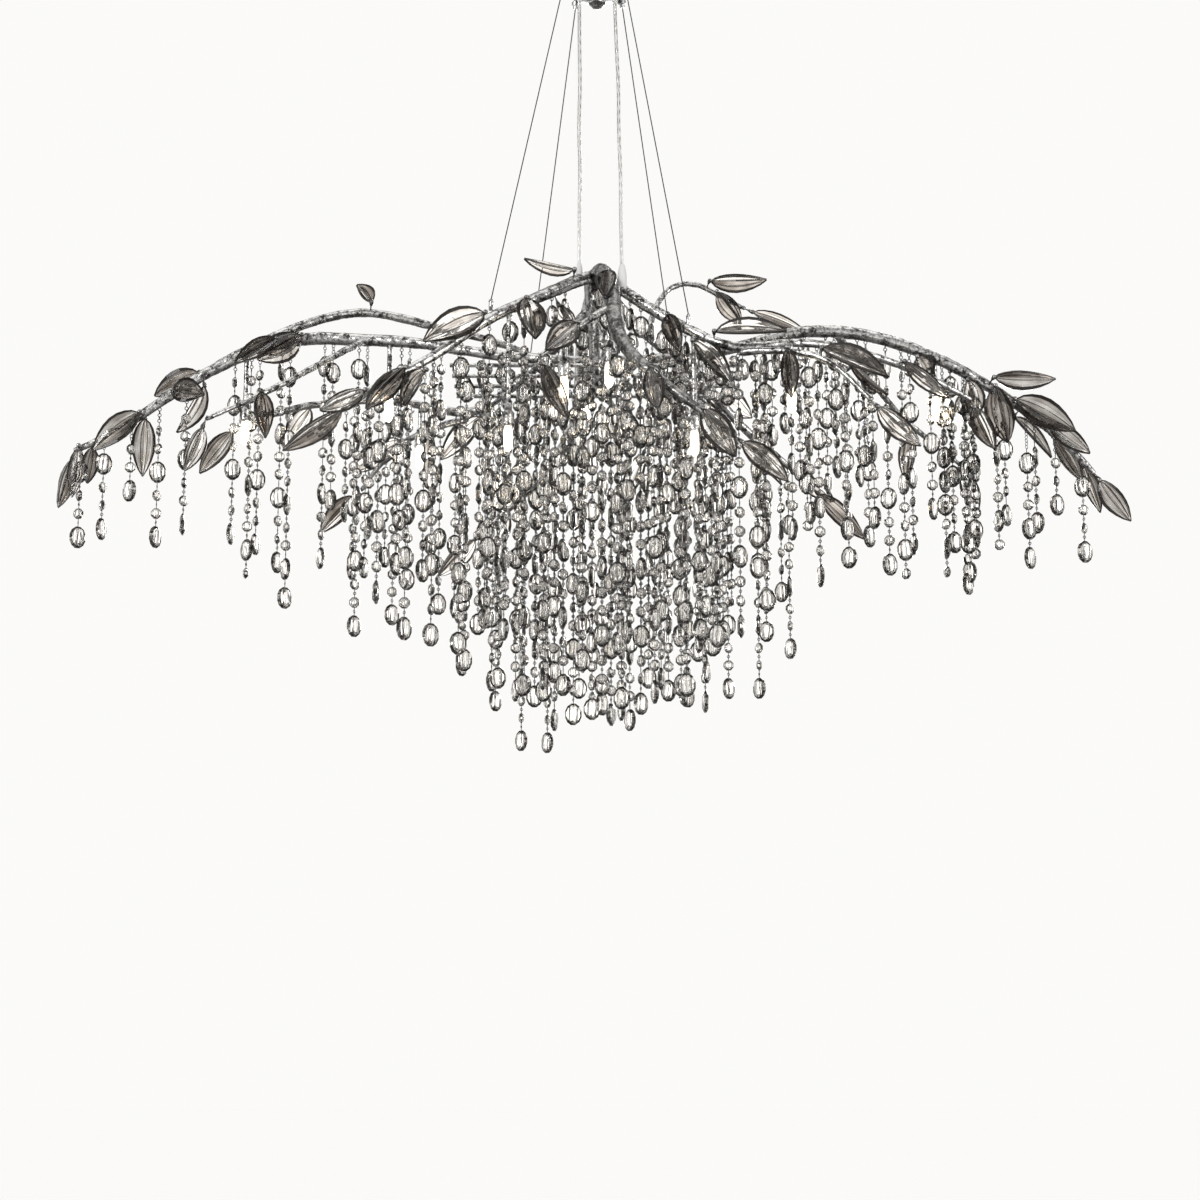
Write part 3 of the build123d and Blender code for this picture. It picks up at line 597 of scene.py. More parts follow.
class ChandelierShapes(bpy.types.PropertyGroup):
    """Sizes of the chandelier's small pieces"""

    bead_width: FloatProperty(
        name="Bead width", description="Across an octagon bead", subtype="DISTANCE", default=14.8 * MM
    )
    bead_depth: FloatProperty(
        name="Bead depth", description="Thickness of an octagon bead", subtype="DISTANCE", default=8.4 * MM
    )
    oval_width: FloatProperty(
        name="Oval width", description="Across an oval", subtype="DISTANCE", default=23.6 * MM
    )
    oval_height: FloatProperty(
        name="Oval height", description="Height of an oval", subtype="DISTANCE", default=31 * MM
    )
    oval_depth: FloatProperty(
        name="Oval depth", description="Thickness of an oval", subtype="DISTANCE", default=9.5 * MM
    )
    wire: FloatProperty(
        name="Wire", description="Diameter of pins and rings", subtype="DISTANCE", default=1.2 * MM
    )
    ring: FloatProperty(
        name="Jump ring", description="Across a jump ring", subtype="DISTANCE", default=6 * MM
    )
    leaf_glass: FloatProperty(
        name="Leaf glass", description="Thickness of a leaf", subtype="DISTANCE", default=3.2 * MM
    )
    bark_grid: FloatProperty(
        name="Bark grid", description="Mesh size of the branches", subtype="DISTANCE", default=1.7 * MM
    )
    bark_swell: FloatProperty(
        name="Bark swell", description="Bark over the bare branch", subtype="DISTANCE", default=0.8 * MM
    )
    bark_lumps: FloatProperty(
        name="Bark lumps", description="Height of the branches' lumps", subtype="DISTANCE", default=2 * MM
    )
    canopy_steps: IntProperty(name="Canopy steps", description="Rings of the canopy's dome", default=14)


# ---- branches -------------------------------------------------------------------------------
# Edges of the bare branches that are sharper than this stay creased when the rest is rounded.
CREASED_EDGE = math.radians(70)
LUMP_SIZE = 20 * MM
GRAIN_SIZE = 6 * MM
# The height of the bark's grain, as a share of its lumps' height.
GRAIN_SHARE = 0.4


def lumpy(piece, name, size, height, level):
    """A displacement by clouds of one size."""
    clouds = bpy.data.textures.new(name, "CLOUDS")
    clouds.noise_scale = size
    clouds.noise_depth = 2
    modify(
        piece, name, "DISPLACE", texture=clouds, texture_coords="LOCAL", strength=height, mid_level=level
    )


def crease(piece):
    """Turn the triangles of a bare branch to quads and crease its sharp edges."""
    pick(piece, lambda corner: True, "VERT")
    bpy.ops.mesh.remove_doubles(threshold=0.01 * MM)
    bpy.ops.mesh.tris_convert_to_quads(face_threshold=0.4, shape_threshold=1.2)
    bpy.ops.mesh.select_all(action="DESELECT")
    bpy.ops.mesh.select_mode(type="EDGE")
    bpy.ops.mesh.edges_select_sharp(sharpness=CREASED_EDGE)
    bpy.ops.transform.edge_crease(value=1)
    deselect()


class CHANDELIER_OT_branches(bpy.types.Operator):
    """Round the branches and hub, roughen their bark and silver them"""

    bl_idname = "chandelier.branches"
    bl_label = "Branches"

    def execute(self, context):
        shapes = context.scene.chandelier_shapes
        finishes = context.scene.chandelier_finishes
        silver = silver_leaf(finishes)
        dark = silver_leaf(finishes, "dark_silver_leaf", finishes.dark_silver)
        for node in [*BRANCH_NODES, "crown_hub"]:
            piece = linked(node + "_bark", frame["nodes"][node].data.copy())
            piece.data.materials.clear()
            piece.data.materials.append(dark if node in TRUNK_NODES else silver)
            crease(piece)
            modify(piece, "curves", "SUBSURF", levels=3, render_levels=3)
            modify(piece, "swell", "DISPLACE", strength=shapes.bark_swell, mid_level=0)
            modify(piece, "even", "REMESH", mode="VOXEL", voxel_size=shapes.bark_grid, use_smooth_shade=True)
            modify(piece, "round", "SMOOTH", iterations=5, factor=0.5)
            lumpy(piece, node + "_lumps", LUMP_SIZE, shapes.bark_lumps, level=0.4)
            lumpy(piece, node + "_grain", GRAIN_SIZE, shapes.bark_lumps * GRAIN_SHARE, level=0.5)
            apply_modifiers(piece)
            settle(piece, FRAME_BODY, "silver_leaf", node)
        return {"FINISHED"}


# ---- leaves ---------------------------------------------------------------------------------
LEAF_ROWS = [0.0, 0.07, 0.17, 0.3, 0.45, 0.6, 0.74, 0.88, 1.0]
# Across a leaf: how far out each ridge or groove runs, and how far it stands from the blade.
LEAF_RIDGES = [
    (-1.0, 0.0), (-0.8, 0.07), (-0.54, -0.1), (-0.26, 0.1), (0.0, -0.08),
    (0.26, 0.1), (0.54, -0.1), (0.8, 0.07), (1.0, 0.0),
]
# How far each form of leaf folds on its midrib, and curls along it.
LEAF_FORMS = {"folded_leaf": (0.5, 0.12), "open_leaf": (0.24, 0.22), "cupped_leaf": (-0.4, 0.16)}
# A leaf's outline: below 1, its widest place is nearer its base, and its sides are rounder.
LEAF_BELLY = 0.82
LEAF_ROUNDNESS = 0.8
LEAF_END_WIDTH = 0.012
# The leaf's glasses; the edge glass is the painted shade of the leaf's dark outline.
PALE_GLASS, DARK_GLASS, PAINTED_SHADE_EDGE = range(3)
# A blade's rounded outline over the narrower one of its blank.
LEAF_FULLNESS = 1.15
# How far the blade's two ends stay inside those of its blank, as a share of its length.
LEAF_SET_BACK = 0.022
LEAF_BEVEL = 1.1 * MM
# Which glass the two halves of each leaf in turn are of. Where the two halves differ, that is painted light
# and shade on the two sides of the fold; a leaf of one glass throughout shows the glass's own tone.
LEAF_GLASSES = [
    (DARK_GLASS, PALE_GLASS),
    (PALE_GLASS, PALE_GLASS),
    (DARK_GLASS, DARK_GLASS),
    (PALE_GLASS, DARK_GLASS),
    (PALE_GLASS, PALE_GLASS),
]
# The cap at a leaf's base: heights as shares of its stem's length, radii as those of CAP_RADIUS.
CAP_LEVELS = [
    (-0.5, 0.9), (0.0, 0.8), (0.3, 0.85), (0.55, 1.4), (0.8, 2.3), (1.05, 2.8), (1.3, 2.4), (1.4, 1.4),
]
CAP_RADIUS = 1.25 * MM


def leaf_width(share):
    """Half of a leaf's width at a share of its length, of a leaf one wide."""
    return 0.5 * math.sin(math.pi * share**LEAF_BELLY) ** LEAF_ROUNDNESS + LEAF_END_WIDTH


def leaf_mesh(name, fold, curl, glasses):
    """A ridged leaf one long and one wide, folded on its midrib, from its base at the origin."""
    steps, sides = len(LEAF_ROWS) - 1, len(LEAF_RIDGES) - 1
    deselect()
    bpy.ops.mesh.primitive_grid_add(
        x_subdivisions=sides, y_subdivisions=steps, size=1, rotation=(math.pi / 2, 0, 0)
    )
    piece = baked()
    piece.data.uv_layers[0].name = LEAF_MAP
    for face in piece.data.polygons:
        half_glass = glasses[int(face.center.x > 0)]
        # The outer band of each face takes the edge glass, painted shade for the dark outline.
        face.material_index = PAINTED_SHADE_EDGE if abs(face.center.x) > 0.5 - 1 / sides else half_glass
    for corner in piece.data.vertices:
        share = LEAF_ROWS[round((corner.co.z + 0.5) * steps)]
        out, ridge = LEAF_RIDGES[round((corner.co.x + 0.5) * sides)]
        half = leaf_width(share)
        corner.co.x = out * half
        corner.co.y = fold * abs(corner.co.x) + ridge * half - curl * share * (share - 1)
        corner.co.z = share
    pick(piece, lambda corner: True, "VERT")
    bpy.ops.mesh.normals_make_consistent(inside=False)
    return take_mesh(name)


def blade_place(points):
    """The place of a blade over its blank."""
    base, tip, girdle = taper(points)
    along = tip - base
    wide = max(girdle, key=lambda p: (p - base).cross(along).length)
    across = (wide - base) - along * ((wide - base).dot(along) / along.length_squared)
    width = 2 * across.length * LEAF_FULLNESS
    across.normalize()
    through = along.normalized().cross(across)
    foot = base + along * LEAF_SET_BACK
    return basis(across * width, through * width, along * (1 - 2 * LEAF_SET_BACK), foot)


class CHANDELIER_OT_leaves(bpy.types.Operator):
    """Model the smoked glass leaves and the metal caps that they are set in"""

    bl_idname = "chandelier.leaves"
    bl_label = "Leaves"

    def execute(self, context):
        shapes = context.scene.chandelier_shapes
        finishes = context.scene.chandelier_finishes
        glasses = (
            smoked_glass("pale_smoke_glass", finishes.smoke_dark, finishes.smoke),
            smoked_glass("dark_smoke_glass", finishes.smoke_deep, finishes.smoke_dark),
            painted_shade_leaf_edge(finishes),
        )
        blades = {
            (form, halves): leaf_mesh(f"{form}_{halves[0]}{halves[1]}", *LEAF_FORMS[form], halves)
            for form in LEAF_FORMS
            for halves in dict.fromkeys(LEAF_GLASSES)
        }
        for node in LEAF_NODES:
            placed = []
            for index, points in enumerate(islands(node)):
                form = list(LEAF_FORMS)[index % len(LEAF_FORMS)]
                halves = LEAF_GLASSES[index % len(LEAF_GLASSES)]
                placed.append((blades[form, halves], blade_place(points)))
            piece = copies(node + "_glass", placed, *glasses)
            # The rim faces that the thickness and bevel add take the edge glass, painted shade for the dark
            # outline.
            modify(
                piece, "thickness", "SOLIDIFY",
                thickness=shapes.leaf_glass, offset=0, material_offset_rim=PAINTED_SHADE_EDGE,
            )
            modify(
                piece, "rim", "BEVEL",
                width=LEAF_BEVEL, segments=1, material=PAINTED_SHADE_EDGE, angle_limit=math.radians(60),
            )
            apply_modifiers(piece)
            keep_inside(piece)
            settle(piece, FRAME_BODY, "smoke_glass", node)
        cap = turning("leaf_cap", CAP_LEVELS, sides=10)
        placed = []
        for points in islands("leaf_stems"):
            end, foot, _ = taper(points)
            placed.append((cap, stand(foot, end, CAP_RADIUS)))
        metal = silver_leaf(finishes, "leaf_cap_silver", finishes.dark_silver)
        settle(copies("leaf_caps", placed, metal), FRAME_BODY, "silver_leaf", "leaf_stems")
        return {"FINISHED"}


# ---- crystals -------------------------------------------------------------------------------
# A cut crystal's girdle, as a share of its depth, and the step of its crown, as shares of the
# crystal's width and depth.
GIRDLE_DEPTH = 0.24
CROWN_WIDTH = 0.8
CROWN_LEVEL = 0.62
SMALL_SIDES = 8
OVAL_SIDES = 12
# A facet that reaches further out than this share of the crystal's size is of its rim.
RIM_FROM = 0.45
# The kinds of crystal: the size of its table, and which facets of its rim are clear.
SMALL_CUTS = {"octagon_bead": ((0.45, 0.45), (2, 5)), "ridged_octagon": ((0.12, 0.5), (1, 6))}
OVAL_CUTS = {
    "oval_bead": ((0.5, 0.56), (3, 8)),
    "ridged_oval": ((0.08, 0.6), (2, 9)),
    "tall_table_oval": ((0.3, 0.62), (4, 10)),
}
# A crystal wider than this in the frame is an oval.
OVAL_FROM = 18 * MM
# How far a pin reaches into its crystal.
PIN_DEPTH = 1 * MM
# The jump rings: from one to the next, as a share of their width, the size of those between two
# crystals, and how much they turn with their place, in radians a metre.
LINK_PITCH = 0.78
SMALL_RING = 0.8
RING_TURN_ACROSS = 50
RING_TURN_DOWN = 90
# The bark over a hook is looked for upwards from so far below the frame's hook, in turn, and over
# this reach, and the hook's top then sits so deep in it.
HOOK_STARTS = (12 * MM, 4 * MM)
HOOK_REACH = 30 * MM
HOOK_SEAT = 0.6 * MM
# Extra strands between those of the frame: how far they start below, stand aside and turn.
BETWEEN_DROP = 9 * MM
BETWEEN_OFFSET = 5 * MM
BETWEEN_TURN = math.radians(70)
NARROWEST_GAP = 30 * MM
WIDEST_GAP = 90 * MM
# How far a fixed strand keeps from a swinging one, and how far past the rods it counts as over them.
SWING_ROOM = 24 * MM
ROW_ROOM = 22 * MM
# Strands that the frame leaves to the scene: the branch that carries them, then their first x and
# last x in millimetres, their number and the most crystals of one.
CROWN_STRANDS = {
    "near_left_strands": ("near_left_branch", -26, -120, 6, 5),
    "near_right_strands": ("near_right_branch", 16, 122, 8, 6),
    "near_centre_strands": ("near_centre_branch", 4, 22, 4, 3),
    "far_left_strands": ("far_left_branch", -22, -110, 6, 5),
    "far_right_strands": ("far_right_branch", 30, 200, 9, 9),
    "far_centre_strands": ("far_centre_branch", -6, -22, 3, 3),
    "main_left_strands": ("main_left_branch", -56, -200, 5, 8),
    "main_right_strands": ("main_right_branch", 60, 620, 20, 9),
}
# The crystals of such a strand, as shares of the most that it may have.
CROWN_LENGTHS = [0.6, 0.9, 0.4, 1.0, 0.75]
# A second strand beside a long one on an arm: where, from how many crystals on, how far aside, and
# how many crystals more it has from a distance to the middle on, or fewer within it.
PAIR_SPANS = ((-560 * MM, -190 * MM), (190 * MM, 680 * MM))
PAIR_BEADS = 4
PAIR_STEP = Vector((12, 3, 0)) * MM
PAIR_LONGER_FROM = 400 * MM
PAIR_LONGER = 1
PAIR_SHORTER = 3
# The crystals on the rods: from one to the next, how far in front, and how they are staggered and
# turned by each of seven steps, one of which has an oval.
ROD_RADIUS = 3 * MM
ROD_BEAD_PITCH = 30 * MM
ROD_BEAD_FRONT = 10 * MM
ROD_BEAD_STEP = 1.6 * MM
ROD_BEAD_TURN = math.radians(12)
ROD_STEPS = 7
ROD_OVAL_STEP = 2
ROD_RING = 1.5


def faceted_bead(name, sides, size, table, clear_facets):
    """A flat cut crystal on a stepped crown, upright and centred; all but a few rim facets take the painted
    shade of its dark outline.
    """
    width, height, depth = size
    radius = width / 2 / math.cos(math.pi / sides)
    deselect()
    bpy.ops.mesh.primitive_cylinder_add(
        vertices=sides,
        radius=radius,
        depth=GIRDLE_DEPTH * depth,
        end_fill_type="NGON",
        rotation=(math.pi / 2, math.pi / sides, 0),
    )
    piece = baked()
    for side in (-1, 1):
        pick(piece, lambda face, side=side: face.normal.y * side > 0.9)
        level, reach = GIRDLE_DEPTH * depth / 2, (1, 1)
        for next_reach, share in (((CROWN_WIDTH, CROWN_WIDTH), CROWN_LEVEL), (table, 1.0)):
            step = side * (share * depth / 2 - level)
            level = share * depth / 2
            bpy.ops.mesh.extrude_region_move(TRANSFORM_OT_translate={"value": (0, step, 0)})
            scale = (next_reach[0] / reach[0], 1, next_reach[1] / reach[1])
            bpy.ops.transform.resize(value=scale, center_override=(0, side * level, 0))
            reach = next_reach
    pick(piece, lambda corner: True, "VERT")
    bpy.ops.transform.resize(value=(1, 1, height / width), center_override=(0, 0, 0))
    bpy.ops.mesh.normals_make_consistent(inside=False)
    mesh = take_mesh(name)
    own = mesh.uv_layers[0]
    own.name = BEAD_MAP
    for loop in mesh.loops:
        corner = mesh.vertices[loop.vertex_index].co
        own.data[loop.index].uv = (corner.x / width, corner.z / height)
    for face in mesh.polygons:
        corners = (mesh.vertices[v].co for v in face.vertices)
        outer = max(math.hypot(corner.x / width, corner.z / height) for corner in corners) > RIM_FROM
        table_side = abs(face.center.y) > (CROWN_LEVEL + 0.05) * depth / 2
        turn = math.degrees(math.atan2(face.center.x, face.center.z)) % 360
        facet = round(turn / 360 * sides) % sides
        # Dark rim facets carry the painted shade of the crystal's outline; the rest are clear crystal.
        face.material_index = int(outer and not table_side and facet not in clear_facets)
    return mesh


class Kit:
    """The crystals, pins and rings that strands are made of."""

    def __init__(self, shapes):
        small = (shapes.bead_width, shapes.bead_width, shapes.bead_depth)
        oval = (shapes.oval_width, shapes.oval_height, shapes.oval_depth)
        self.smalls = [faceted_bead(name, SMALL_SIDES, small, *cut) for name, cut in SMALL_CUTS.items()]
        self.ovals = [faceted_bead(name, OVAL_SIDES, oval, *cut) for name, cut in OVAL_CUTS.items()]
        self.small_half = shapes.bead_width / 2 - PIN_DEPTH
        self.oval_half = shapes.oval_height / 2 - PIN_DEPTH
        self.link = LINK_PITCH * shapes.ring
        deselect()
        bpy.ops.mesh.primitive_cylinder_add(
            vertices=5, radius=shapes.wire / 2, depth=1, location=(0, 0, 0.5)
        )
        baked()
        self.pin = take_mesh("wire_pin")
        bpy.ops.mesh.primitive_torus_add(
            major_segments=10,
            minor_segments=4,
            major_radius=(shapes.ring - shapes.wire) / 2,
            minor_radius=shapes.wire / 2,
            location=(0, 0, 0),
            rotation=(math.pi / 2, 0, 0),
        )
        baked()
        self.ring = take_mesh("jump_ring")


@dataclass
class Bead:
    """One crystal of a strand: the stretch of height that it takes, its turn, and if it is an oval."""

    low: float
    high: float
    turn: float
    oval: bool


@dataclass
class Strand:
    """A hanging strand: the top of its hook, its crystals from the top down, and if the frame has it."""

    top: Vector
    beads: list
    own: bool = False

    def copy(self, top, beads, turn, lower=0.0):
        """The same strand elsewhere, with another number of crystals, each turned by an angle."""
        drop = top.z - self.top.z - lower
        kept = [Bead(b.low + drop, b.high + drop, b.turn + turn, b.oval) for b in self.beads[: max(1, beads)]]
        while len(kept) < beads:
            like, high = self.beads[len(kept) % len(self.beads)], kept[-1].low
            kept.append(Bead(high - (like.high - like.low), high, like.turn + 2 * turn, like.oval))
        return Strand(top, kept)


def strands_of(node):
    """The strands of a node, read from its solids."""
    columns = {}
    for points in islands(node):
        centre = middle(points)
        columns.setdefault((round(centre.x, 3), round(centre.y, 3)), []).append(points)
    found = []
    for solids in columns.values():
        solids.sort(key=lambda points: -max(p.z for p in points))
        hook, *crystals = solids
        beads = []
        for points in crystals:
            low, high = min(points, key=lambda p: p.z), max(points, key=lambda p: p.z)
            first, second = ends([p for p in points if p not in (low, high)])
            across = first - second
            beads.append(Bead(low.z, high.z, math.atan2(across.y, across.x), across.length > OVAL_FROM))
        found.append(Strand(max(hook, key=lambda p: p.z), beads, own=True))
    found.sort(key=lambda strand: strand.top.x)
    return found


def branch_at(node, x):
    """The middle of a branch where it passes x."""
    mesh = frame["nodes"][node].data
    crossings = []
    for edge in mesh.edges:
        start, end = (mesh.vertices[v].co for v in edge.vertices)
        if min(start.x, end.x) <= x < max(start.x, end.x):
            crossings.append(start.lerp(end, (x - start.x) / (end.x - start.x)))
    return middle(crossings)


def between(strands):
    """Strands that fill the gaps between the neighbours of a row."""
    found = []
    for index, (left, right) in enumerate(zip(strands, strands[1:])):
        if not NARROWEST_GAP < (right.top - left.top).length < WIDEST_GAP:
            continue
        top = (left.top + right.top) / 2 + Vector((0, BETWEEN_OFFSET * (-1) ** index, 0))
        shorter, longer = sorted((len(left.beads), len(right.beads)))
        source = left if len(left.beads) == longer else right
        copy = source.copy(top, longer if index % 2 else shorter - 1, BETWEEN_TURN, BETWEEN_DROP)
        while copy.beads[-1].low < CAD_BOX[0].z + BETWEEN_DROP:
            copy.beads.pop()
        found.append(copy)
    return found


def has_room(place, swinging):
    """Whether a strand at a place stays clear of the ones that swing."""
    return all((top - place).xy.length > SWING_ROOM for top in swinging)


def crown_strands(node, strands, swinging):
    """Short strands along a branch, which stop above the rods where they hang over the rows."""
    branch, first, last, count, most = CROWN_STRANDS[node]
    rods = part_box("strand_rods")
    template = max(strands, key=lambda strand: len(strand.beads))
    found = []
    for index in range(count):
        x = (first + (last - first) * index / (count - 1)) * MM
        place = branch_at(branch, x)
        if not has_room(place, swinging):
            continue
        beads = max(1, round(most * CROWN_LENGTHS[index % len(CROWN_LENGTHS)]))
        strand = template.copy(place, beads, index * BETWEEN_TURN)
        over_rows = abs(x) < rods[1].x + ROW_ROOM and abs(place.y) < rods[1].y + ROW_ROOM
        while over_rows and len(strand.beads) > 1 and strand.beads[-1].low < rods[1].z:
            strand.beads.pop()
        found.append(strand)
    return found


def pairs_of(strands):
    """The strands that hang close beside the long ones among these."""
    found = []
    for strand in strands:
        within = any(low < strand.top.x < high for low, high in PAIR_SPANS)
        if within and len(strand.beads) >= PAIR_BEADS:
            side = 1 if round(strand.top.x / MM) % 2 else -1
            top = strand.top + PAIR_STEP * side
            more = PAIR_LONGER if abs(top.x) > PAIR_LONGER_FROM else -PAIR_SHORTER
            found.append(strand.copy(top, len(strand.beads) + more, BETWEEN_TURN, BETWEEN_DROP))
    return found


def branch_surface():
    """The bark of all the branches, to find what a hook meets."""
    whole = bmesh.new()
    for node in BRANCH_NODES:
        whole.from_mesh(bpy.data.objects[node + "_bark"].data)
    tree = BVHTree.FromBMesh(whole)
    whole.free()
    return tree


def hang_from(strand, bark):
    """Move the top of a hook to the underside of the bark above it, and say whether there is any."""
    for start in HOOK_STARTS:
        place, normal, *_ = bark.ray_cast(strand.top - UP * start, UP, HOOK_REACH)
        if place and normal.z < 0:
            strand.top = place + UP * HOOK_SEAT
            return True
    return False


def string_up(strand, kit, beads, wires):
    """Add a strand's crystals to beads, and the rings and pins that they hang on to wires."""
    x, y, top = strand.top
    chain = top - strand.beads[0].high
    count = max(2, round(chain / kit.link))
    for link in range(count):
        place = shift(x, y, top - (link + 0.5) * chain / count)
        wires.append((kit.ring, place @ spin(link * math.pi / 2 + x * RING_TURN_ACROSS)))
    for index, bead in enumerate(strand.beads):
        centre = (bead.low + bead.high) / 2
        kinds, half = (kit.ovals, kit.oval_half) if bead.oval else (kit.smalls, kit.small_half)
        kind = kinds[round(abs(x + y) / MM + index * 7) % len(kinds)]
        beads.append((kind, shift(x, y, centre) @ spin(bead.turn)))
        pins = [(centre + half, bead.high)]
        if bead is not strand.beads[-1]:
            pins.append((bead.low, centre - half))
            turn = spin(centre * RING_TURN_DOWN) @ Matrix.Scale(SMALL_RING, 4)
            wires.append((kit.ring, shift(x, y, bead.low) @ turn))
        for low, high in pins:
            if high > low:
                wires.append((kit.pin, shift(x, y, low) @ Matrix.Diagonal((1, 1, high - low, 1))))


def rod_crystals(kit):
    """Crystals wired side by side on the front of each rod, and the rings that hold them."""
    low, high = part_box("strand_rods")
    rows = [middle([strand.top for strand in strands_of(node)]) for node in STRAND_NODES if "_row_" in node]
    count = round((high.x - low.x) / ROD_BEAD_PITCH)
    beads, wires = [], []
    for row, top in enumerate(rows):
        for index in range(count):
            step = (index * 5 + row * 3) % ROD_STEPS
            off_centre = step - ROD_STEPS // 2
            x = low.x + (index + 0.5) * (high.x - low.x) / count
            place = shift(x, top.y, top.z + ROD_RADIUS)
            front = shift(0, -ROD_BEAD_FRONT, off_centre * ROD_BEAD_STEP)
            kinds = kit.ovals if step == ROD_OVAL_STEP else kit.smalls
            beads.append((kinds[index % len(kinds)], place @ front @ spin(off_centre * ROD_BEAD_TURN)))
            wires.append((kit.ring, place @ spin(math.pi / 2) @ Matrix.Scale(ROD_RING, 4)))
    return beads, wires


class CHANDELIER_OT_strands(bpy.types.Operator):
    """String the cut crystals on their pins and jump rings"""

    bl_idname = "chandelier.strands"
    bl_label = "Crystal strands"

    def execute(self, context):
        finishes = context.scene.chandelier_finishes
        crystal, rim, wire = cut_crystal(finishes), crystal_rim_painted_shade(finishes), plain_finish("fine_wire")
        kit = Kit(context.scene.chandelier_shapes)
        bark = branch_surface()
        singles = [strands_of(node)[0] for node in STRAND_NODES if "_strand_" in node]
        swinging = [strand.top for strand in singles + pairs_of(singles)]
        for node in STRAND_NODES:
            strands = strands_of(node)
            if node.endswith("_row_strands"):
                strands += between(strands)
            else:
                if node in CROWN_STRANDS:
                    strands += crown_strands(node, strands, swinging)
                pairs = pairs_of(strands)
                if "_strand_" not in node:
                    pairs = [pair for pair in pairs if has_room(pair.top, swinging)]
                strands = [strand for strand in strands + pairs if hang_from(strand, bark) or strand.own]
            beads, wires = [], []
            for strand in strands:
                string_up(strand, kit, beads, wires)
            settle(copies(node + "_crystals", beads, crystal, rim), NODE_BODY[node], "clear_crystal", node)
            settle(copies(node + "_wires", wires, wire), NODE_BODY[node], "plain_steel", node)
        beads, wires = rod_crystals(kit)
        settle(copies("rod_crystals", beads, crystal, rim), FRAME_BODY, "clear_crystal")
        settle(copies("rod_crystal_rings", wires, wire), FRAME_BODY, "plain_steel")
        return {"FINISHED"}


# ---- lamps ----------------------------------------------------------------------------------
# Heights and radii of these turned shapes, and of the canopy's, are shares of those of what they fill.
SOCKET_LEVELS = [
    (0.0, 0.8), (0.0, 1.0), (0.06, 1.04), (0.12, 0.97), (0.7, 0.97), (0.76, 1.02), (0.84, 0.9),
    (1.0, 0.5), (1.0, 0.3),
]
STEM_LEVELS = [(0.0, 1.5), (0.06, 1.6), (0.12, 1.0), (0.9, 0.95), (1.0, 1.3)]
BULB_LEVELS = [
    (0.0, 0.12), (0.02, 0.4), (0.07, 0.72), (0.15, 0.93), (0.25, 1.0), (0.7, 1.0), (0.8, 0.8), (1.0, 0.8),
]
CORE_LEVELS = [(0.16, 0.1), (0.2, 0.5), (0.3, 0.66), (0.62, 0.66), (0.72, 0.5), (0.78, 0.12)]


class CHANDELIER_OT_lamps(bpy.types.Operator):
    """Turn the lamp stems and sockets and light the bulbs"""

    bl_idname = "chandelier.lamps"
    bl_label = "Lamps"

    def execute(self, context):
        finishes = context.scene.chandelier_finishes
        metal = silver_leaf(finishes)
        socket = turning("socket", SOCKET_LEVELS, sides=20)
        stem = turning("stem", STEM_LEVELS, sides=12)
        bulb = turning("bulb", BULB_LEVELS, sides=20)
        core = turning("core", CORE_LEVELS, sides=12)
        for face in core.polygons:
            face.material_index = 1
        glass = plain_finish("clear_lamp_glass")
        fill_solids("lamp_sockets", "lamp_sockets_turned", "silver_leaf", [socket], metal)
        fill_solids("lamp_stems", "lamp_stems_turned", "silver_leaf", [stem], metal)
        fill_solids("bulbs", "bulbs_lit", "lamp_glass", [bulb, core], glass, lit_core(finishes))
        return {"FINISHED"}


# ---- canopy ---------------------------------------------------------------------------------
# The rim of the dome: the lip that meets the ceiling, its upright edge, and how deep the back is
# set in behind the lip.
RIM_LIP = 3 * MM
RIM_HEIGHT = 1.5 * MM
RIM_RECESS = 1 * MM
KNOB_LEVELS = [
    (1.0, 0.5), (0.9, 0.62), (0.86, 0.8), (0.7, 1.0), (0.55, 0.98), (0.35, 0.72), (0.22, 0.6),
    (0.1, 0.5), (0.0, 0.2),
]
GRIPPER_LEVELS = [
    (0.0, 0.25), (0.0, 0.55), (0.2, 0.62), (0.24, 1.0), (0.42, 1.0), (0.46, 0.62), (0.9, 0.62), (1.0, 0.4),
]
GRIPPER_LENGTH = 26 * MM
GRIPPER_RADIUS = 6.4 * MM
STOP_LEVELS = [(0.0, 1.0), (0.7, 1.0), (0.78, 1.15), (0.86, 1.0), (1.0, 0.6)]
COLLAR_LEVELS = [(0.0, 1.0), (0.5, 0.95), (0.8, 0.75), (1.0, 0.55)]


def dome_levels(radius, depth, steps):
    """The levels of a shallow dome that looks down, from its rim to its middle."""
    sphere = (radius**2 + depth**2) / (2 * depth)
    levels = [
        (-RIM_RECESS, radius - RIM_LIP - RIM_RECESS),
        (0.0, radius - RIM_LIP),
        (0.0, radius),
        (-RIM_HEIGHT, radius),
    ]
    for step in range(1, steps):
        ring = radius * (1 - step / steps)
        levels.append((sphere - depth - math.sqrt(sphere**2 - ring**2), ring))
    return levels


